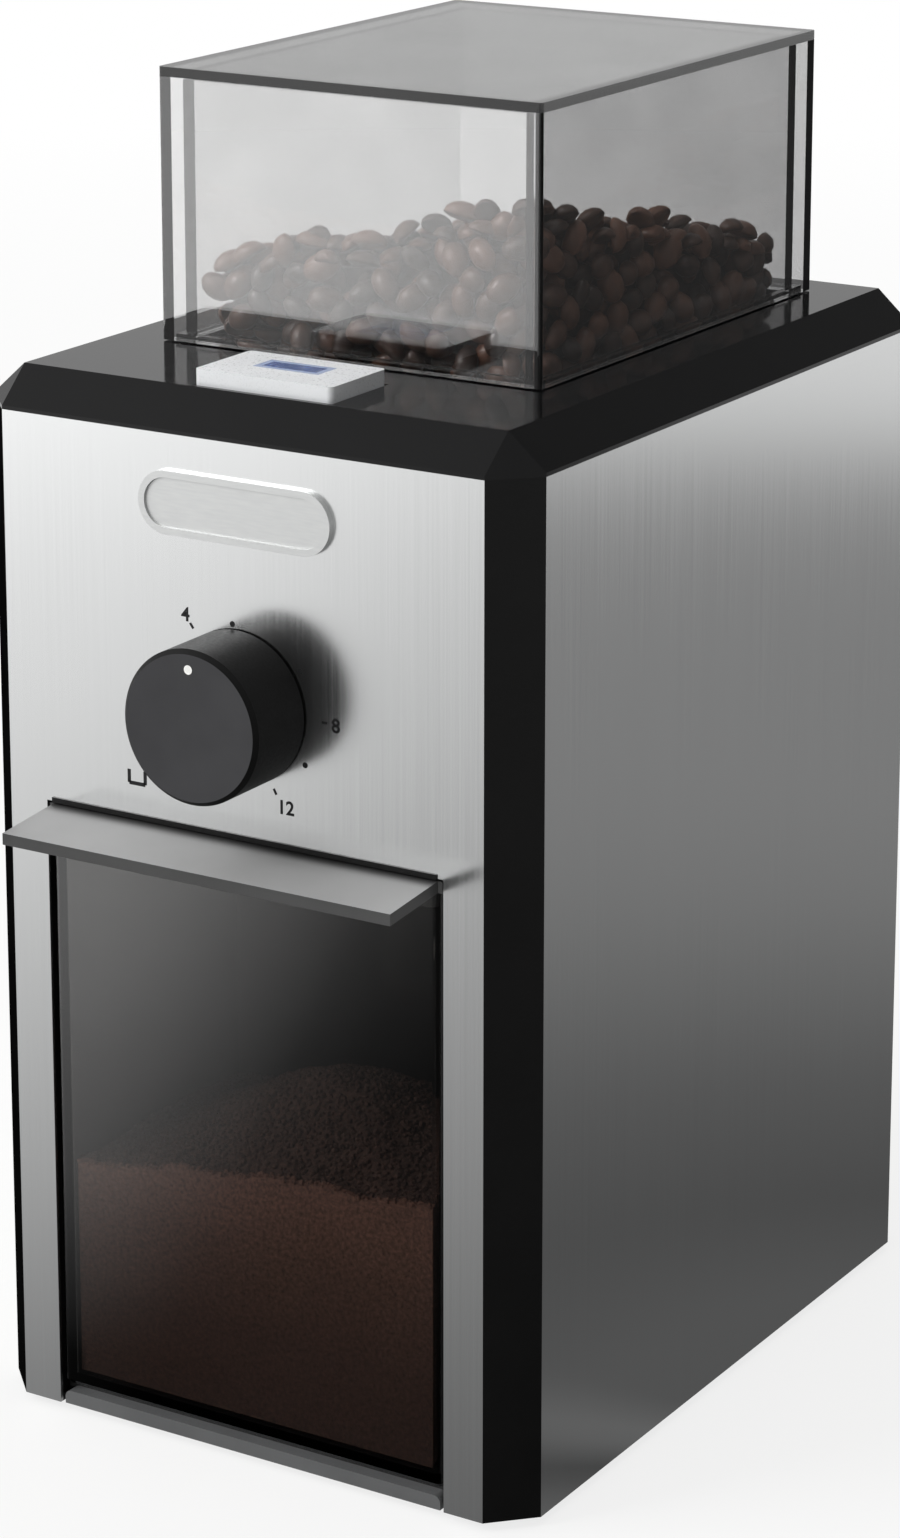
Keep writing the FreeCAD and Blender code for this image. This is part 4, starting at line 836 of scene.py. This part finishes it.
# The ramps hold (place, brightness): over the floor by metres from the object, and round the studio from -1 at its
# dim back to 1 at its bright front left.
studio = {
    "floorColour": "#f2f2f0", "floorRadius": 6.0, "floorShadow": 0.8, "shadowReach": (0.3, 1.6),
    "brightSide": (-0.8, -0.6, 0.0), "rampMetres": 1.6,
    "nearFloor": [(0.0, 0.18), (0.11, 0.27), (0.233, 0.46), (0.415, 0.69), (0.53, 0.8), (0.61, 0.88),
                  (0.73, 0.91), (0.8, 0.95), (0.96, 1.14), (1.5, 1.5)],
    "nearRound": [(-0.2, 0.6), (0.36, 0.66), (0.8, 0.65), (0.86, 0.64), (0.89, 0.78), (0.93, 1.03), (1.0, 1.08)],
    "farFloor": [(0.0, 0.1), (0.09, 0.11), (0.14, 0.09), (0.214, 0.12), (0.35, 0.22), (0.44, 0.25),
                 (0.75, 0.26), (0.84, 0.33), (0.95, 0.8), (1.5, 1.0)],
    "farRound": [(-1.0, 1.0), (-0.74, 1.0), (-0.58, 1.4), (-0.5, 1.3), (-0.37, 0.7), (-0.2, 1.0), (0.0, 1.2)],
    "farToNear": (-0.3, 0.1),
    "clearFloor": [(0.0, 0.0), (0.12, 0.05), (0.177, 0.45), (0.215, 0.8), (0.266, 1.05), (0.335, 1.5),
                   (0.414, 1.9), (0.9, 2.4), (1.09, 3.3), (1.2, 3.5), (1.5, 3.7)],
    "clearRound": [(-1.0, 0.02), (0.5, 0.03), (0.8, 0.05), (0.84, 0.1), (0.865, 0.18), (0.89, 0.4),
                   (0.905, 0.55), (0.925, 0.8), (0.943, 1.0), (1.0, 1.05)],
    "clearWide": [(-1.0, 0.02), (-0.2, 0.05), (0.5, 0.2), (0.85, 0.55), (0.912, 0.8), (0.935, 0.97), (1.0, 1.0)],
    "roundToWide": (0.65, 0.85), "outerWalls": 3.0, "innerWalls": 0.15,
    "sky": [(-1.0, 0.2), (-0.6, 0.15), (-0.2, 0.66), (0.0, 0.7), (0.35, 0.42), (0.8, 1.2), (1.0, 1.8)],
    "diffuse": (0.12, 0.62), "diffuseRound": (-0.9, 0.7),
}


def facing(tree, place):
    # 1 towards the bright front left of the studio, -1 towards its dim back
    unit = addNode(tree, "ShaderNodeVectorMath", {"operation": "NORMALIZE"}, links={0: place})
    return addNode(tree, "ShaderNodeVectorMath", {"operation": "DOT_PRODUCT"}, {1: studio["brightSide"]},
                   {0: unit.outputs["Vector"]}).outputs["Value"]


def sideRamp(tree, side, stops):
    share = spread(tree, side, 0.0, 1.0, (-1.0, 1.0))
    return addNode(tree, "ShaderNodeValToRGB", links={"Fac": share}, stops=greyStops(stops, -1.0)).outputs["Color"]


def floorAndSide(tree, distance, side, floorStops, sideColour):
    # the brightness of the floor by its distance, times what its side of the studio gives
    share = addNode(tree, "ShaderNodeMath", {"operation": "DIVIDE"}, {1: studio["rampMetres"]}, {0: distance})
    ramp = addNode(tree, "ShaderNodeValToRGB", links={"Fac": share.outputs["Value"]},
                   stops=greyStops(floorStops, 0.0, studio["rampMetres"]))
    return addNode(tree, "ShaderNodeMix", colourProduct, {"Factor": 1.0},
                   {"A": ramp.outputs["Color"], "B": sideColour}).outputs["Result"]


def mirroredShare(tree, rays):
    # 1 for a ray that a metal or clear wall has mirrored, 0 for one that only passed through
    return addNode(tree, "ShaderNodeMath", {"operation": "MULTIPLY", "use_clamp": True},
                   links={0: rays.outputs["Is Glossy Ray"], 1: rays.outputs["Glossy Depth"]}).outputs["Value"]


def seenShare(tree, rays):
    # 1 for a ray from the eye, straight or through clear walls
    return addNode(tree, "ShaderNodeMath", {"operation": "MAXIMUM"},
                   links={0: rays.outputs["Is Camera Ray"], 1: rays.outputs["Is Transmission Ray"]}).outputs["Value"]


def floorMaterial():
    # matt painted floor, white to the eye beyond the object's own shadow
    material = bpy.data.materials.new("paintedStudioFloor")
    material.use_nodes = True
    tree = material.node_tree
    tree.nodes.clear()
    matt = addNode(tree, "ShaderNodeBsdfDiffuse", values={"Color": linearColour(studio["floorColour"])})
    glow = addNode(tree, "ShaderNodeEmission", values={"Color": white, "Strength": 1.0})
    place = addNode(tree, "ShaderNodeTexCoord").outputs["Object"]
    reach = addNode(tree, "ShaderNodeVectorMath", {"operation": "LENGTH"}, links={0: place})
    side, distance = facing(tree, place), reach.outputs["Value"]
    rays = addNode(tree, "ShaderNodeLightPath")
    shown = addNode(tree, "ShaderNodeMath", {"operation": "MULTIPLY"}, links={
        0: spread(tree, distance, studio["floorShadow"], 1.0, studio["shadowReach"]), 1: seenShare(tree, rays)})
    plain = addNode(tree, "ShaderNodeMixShader", links={0: shown.outputs["Value"], 1: matt.outputs["BSDF"],
                                                        2: glow.outputs["Emission"]})
    # mirrored in metal the floor glows, white further off and with painted shade near the casing
    near = floorAndSide(tree, distance, side, studio["nearFloor"], sideRamp(tree, side, studio["nearRound"]))
    far = floorAndSide(tree, distance, side, studio["farFloor"], sideRamp(tree, side, studio["farRound"]))
    metal = addNode(tree, "ShaderNodeMix", colourMix, links={
        "Factor": spread(tree, side, 0.0, 1.0, studio["farToNear"]), "A": far, "B": near})
    # clear walls mirror only the bright side of the studio, and their inner faces hardly mirror it
    around = addNode(tree, "ShaderNodeMix", colourMix, links={
        "Factor": spread(tree, distance, 0.0, 1.0, studio["roundToWide"]),
        "A": sideRamp(tree, side, studio["clearRound"]), "B": sideRamp(tree, side, studio["clearWide"])})
    outer = addNode(tree, "ShaderNodeMath", {"operation": "LESS_THAN"}, {1: studio["outerWalls"]},
                    {0: rays.outputs["Transmission Depth"]})
    clear = addNode(tree, "ShaderNodeMix", colourProduct, {"Factor": 1.0}, {
        "A": floorAndSide(tree, distance, side, studio["clearFloor"], around.outputs["Result"]),
        "B": spread(tree, outer.outputs["Value"], studio["innerWalls"], 1.0, (0.0, 1.0))})
    tone = addNode(tree, "ShaderNodeMix", colourMix, links={
        "Factor": rays.outputs["Is Singular Ray"], "A": metal.outputs["Result"], "B": clear.outputs["Result"]})
    mirrored = addNode(tree, "ShaderNodeEmission", links={"Color": tone.outputs["Result"]})
    final = addNode(tree, "ShaderNodeMixShader", links={0: mirroredShare(tree, rays), 1: plain.outputs["Shader"],
                                                        2: mirrored.outputs["Emission"]})
    addNode(tree, "ShaderNodeOutputMaterial", links={"Surface": final.outputs["Shader"]})
    return material


def makeFloor():
    shape = bmesh.new()
    bmesh.ops.create_circle(shape, cap_ends=True, segments=64, radius=studio["floorRadius"])
    floor = linkedObject("floor", keptMesh("floor", shape, outwards=False))
    floor.data.materials.append(floorMaterial())


def makeWorld():
    # white for the eye and through clear walls; metal sees a studio that is bright in front and dim behind
    world = bpy.data.worlds.new("studioWorld")
    scene.world = world
    world.use_nodes = True
    tree = world.node_tree
    tree.nodes.clear()
    rays = addNode(tree, "ShaderNodeLightPath")
    side = facing(tree, addNode(tree, "ShaderNodeTexCoord").outputs["Generated"])
    plain = addNode(tree, "ShaderNodeMix", colourMix, {"B": white}, {
        "Factor": seenShare(tree, rays), "A": spread(tree, side, *studio["diffuse"], studio["diffuseRound"])})
    colour = addNode(tree, "ShaderNodeMix", colourMix, links={
        "Factor": mirroredShare(tree, rays), "A": plain.outputs["Result"],
        "B": sideRamp(tree, side, studio["sky"])})
    back = addNode(tree, "ShaderNodeBackground", values={"Strength": 1.0}, links={"Color": colour.outputs["Result"]})
    addNode(tree, "ShaderNodeOutputWorld", links={"Surface": back.outputs["Background"]})


lamps = {"keyLamp": {"place": (-1.1, -1.2, 1.2), "size": 1.0, "watts": 23.0},
         "topLamp": {"place": (0.1, 0.2, 1.7), "size": 1.2, "watts": 6.5},
         "fillLamp": {"place": (1.4, -0.6, 0.7), "size": 0.9, "watts": 0.25}}
lampAim = (0, 0, 0.14)


def softLamp(name, place, size, watts):
    lamp = bpy.data.lights.new(name, "AREA")
    lamp.shape = "SQUARE"
    lamp.size = size
    lamp.energy = watts
    obj = linkedObject(name, lamp)
    obj.location = place
    obj.rotation_euler = (Vector(lampAim) - Vector(place)).to_track_quat("-Z", "Y").to_euler()


makeFloor()
makeWorld()
for name, lamp in lamps.items():
    softLamp(name, **lamp)

view = {"azimuth": 31.56, "elevation": 13.79, "place": (0.4698, -0.7637, 0.4161), "lensMm": 103.0, "sensorMm": 36,
        "shiftY": -0.2, "nearest": 0.01}
azimuth, elevation = math.radians(view["azimuth"]), math.radians(view["elevation"])
ahead = Vector((-math.sin(azimuth) * math.cos(elevation), math.cos(azimuth) * math.cos(elevation),
                -math.sin(elevation)))
right = Vector((math.cos(azimuth), math.sin(azimuth), 0))
up = right.cross(ahead)
cameraData = bpy.data.cameras.new("camera")
cameraData.lens = view["lensMm"]
cameraData.sensor_width = view["sensorMm"]
cameraData.shift_y = view["shiftY"]
cameraData.clip_start = view["nearest"]
camera = linkedObject("camera", cameraData)
camera.matrix_world = Matrix.Translation(view["place"]) @ Matrix((right, up, -ahead)).transposed().to_4x4()
scene.camera = camera
scene.view_settings.view_transform = "Standard"
print("studio and camera set")
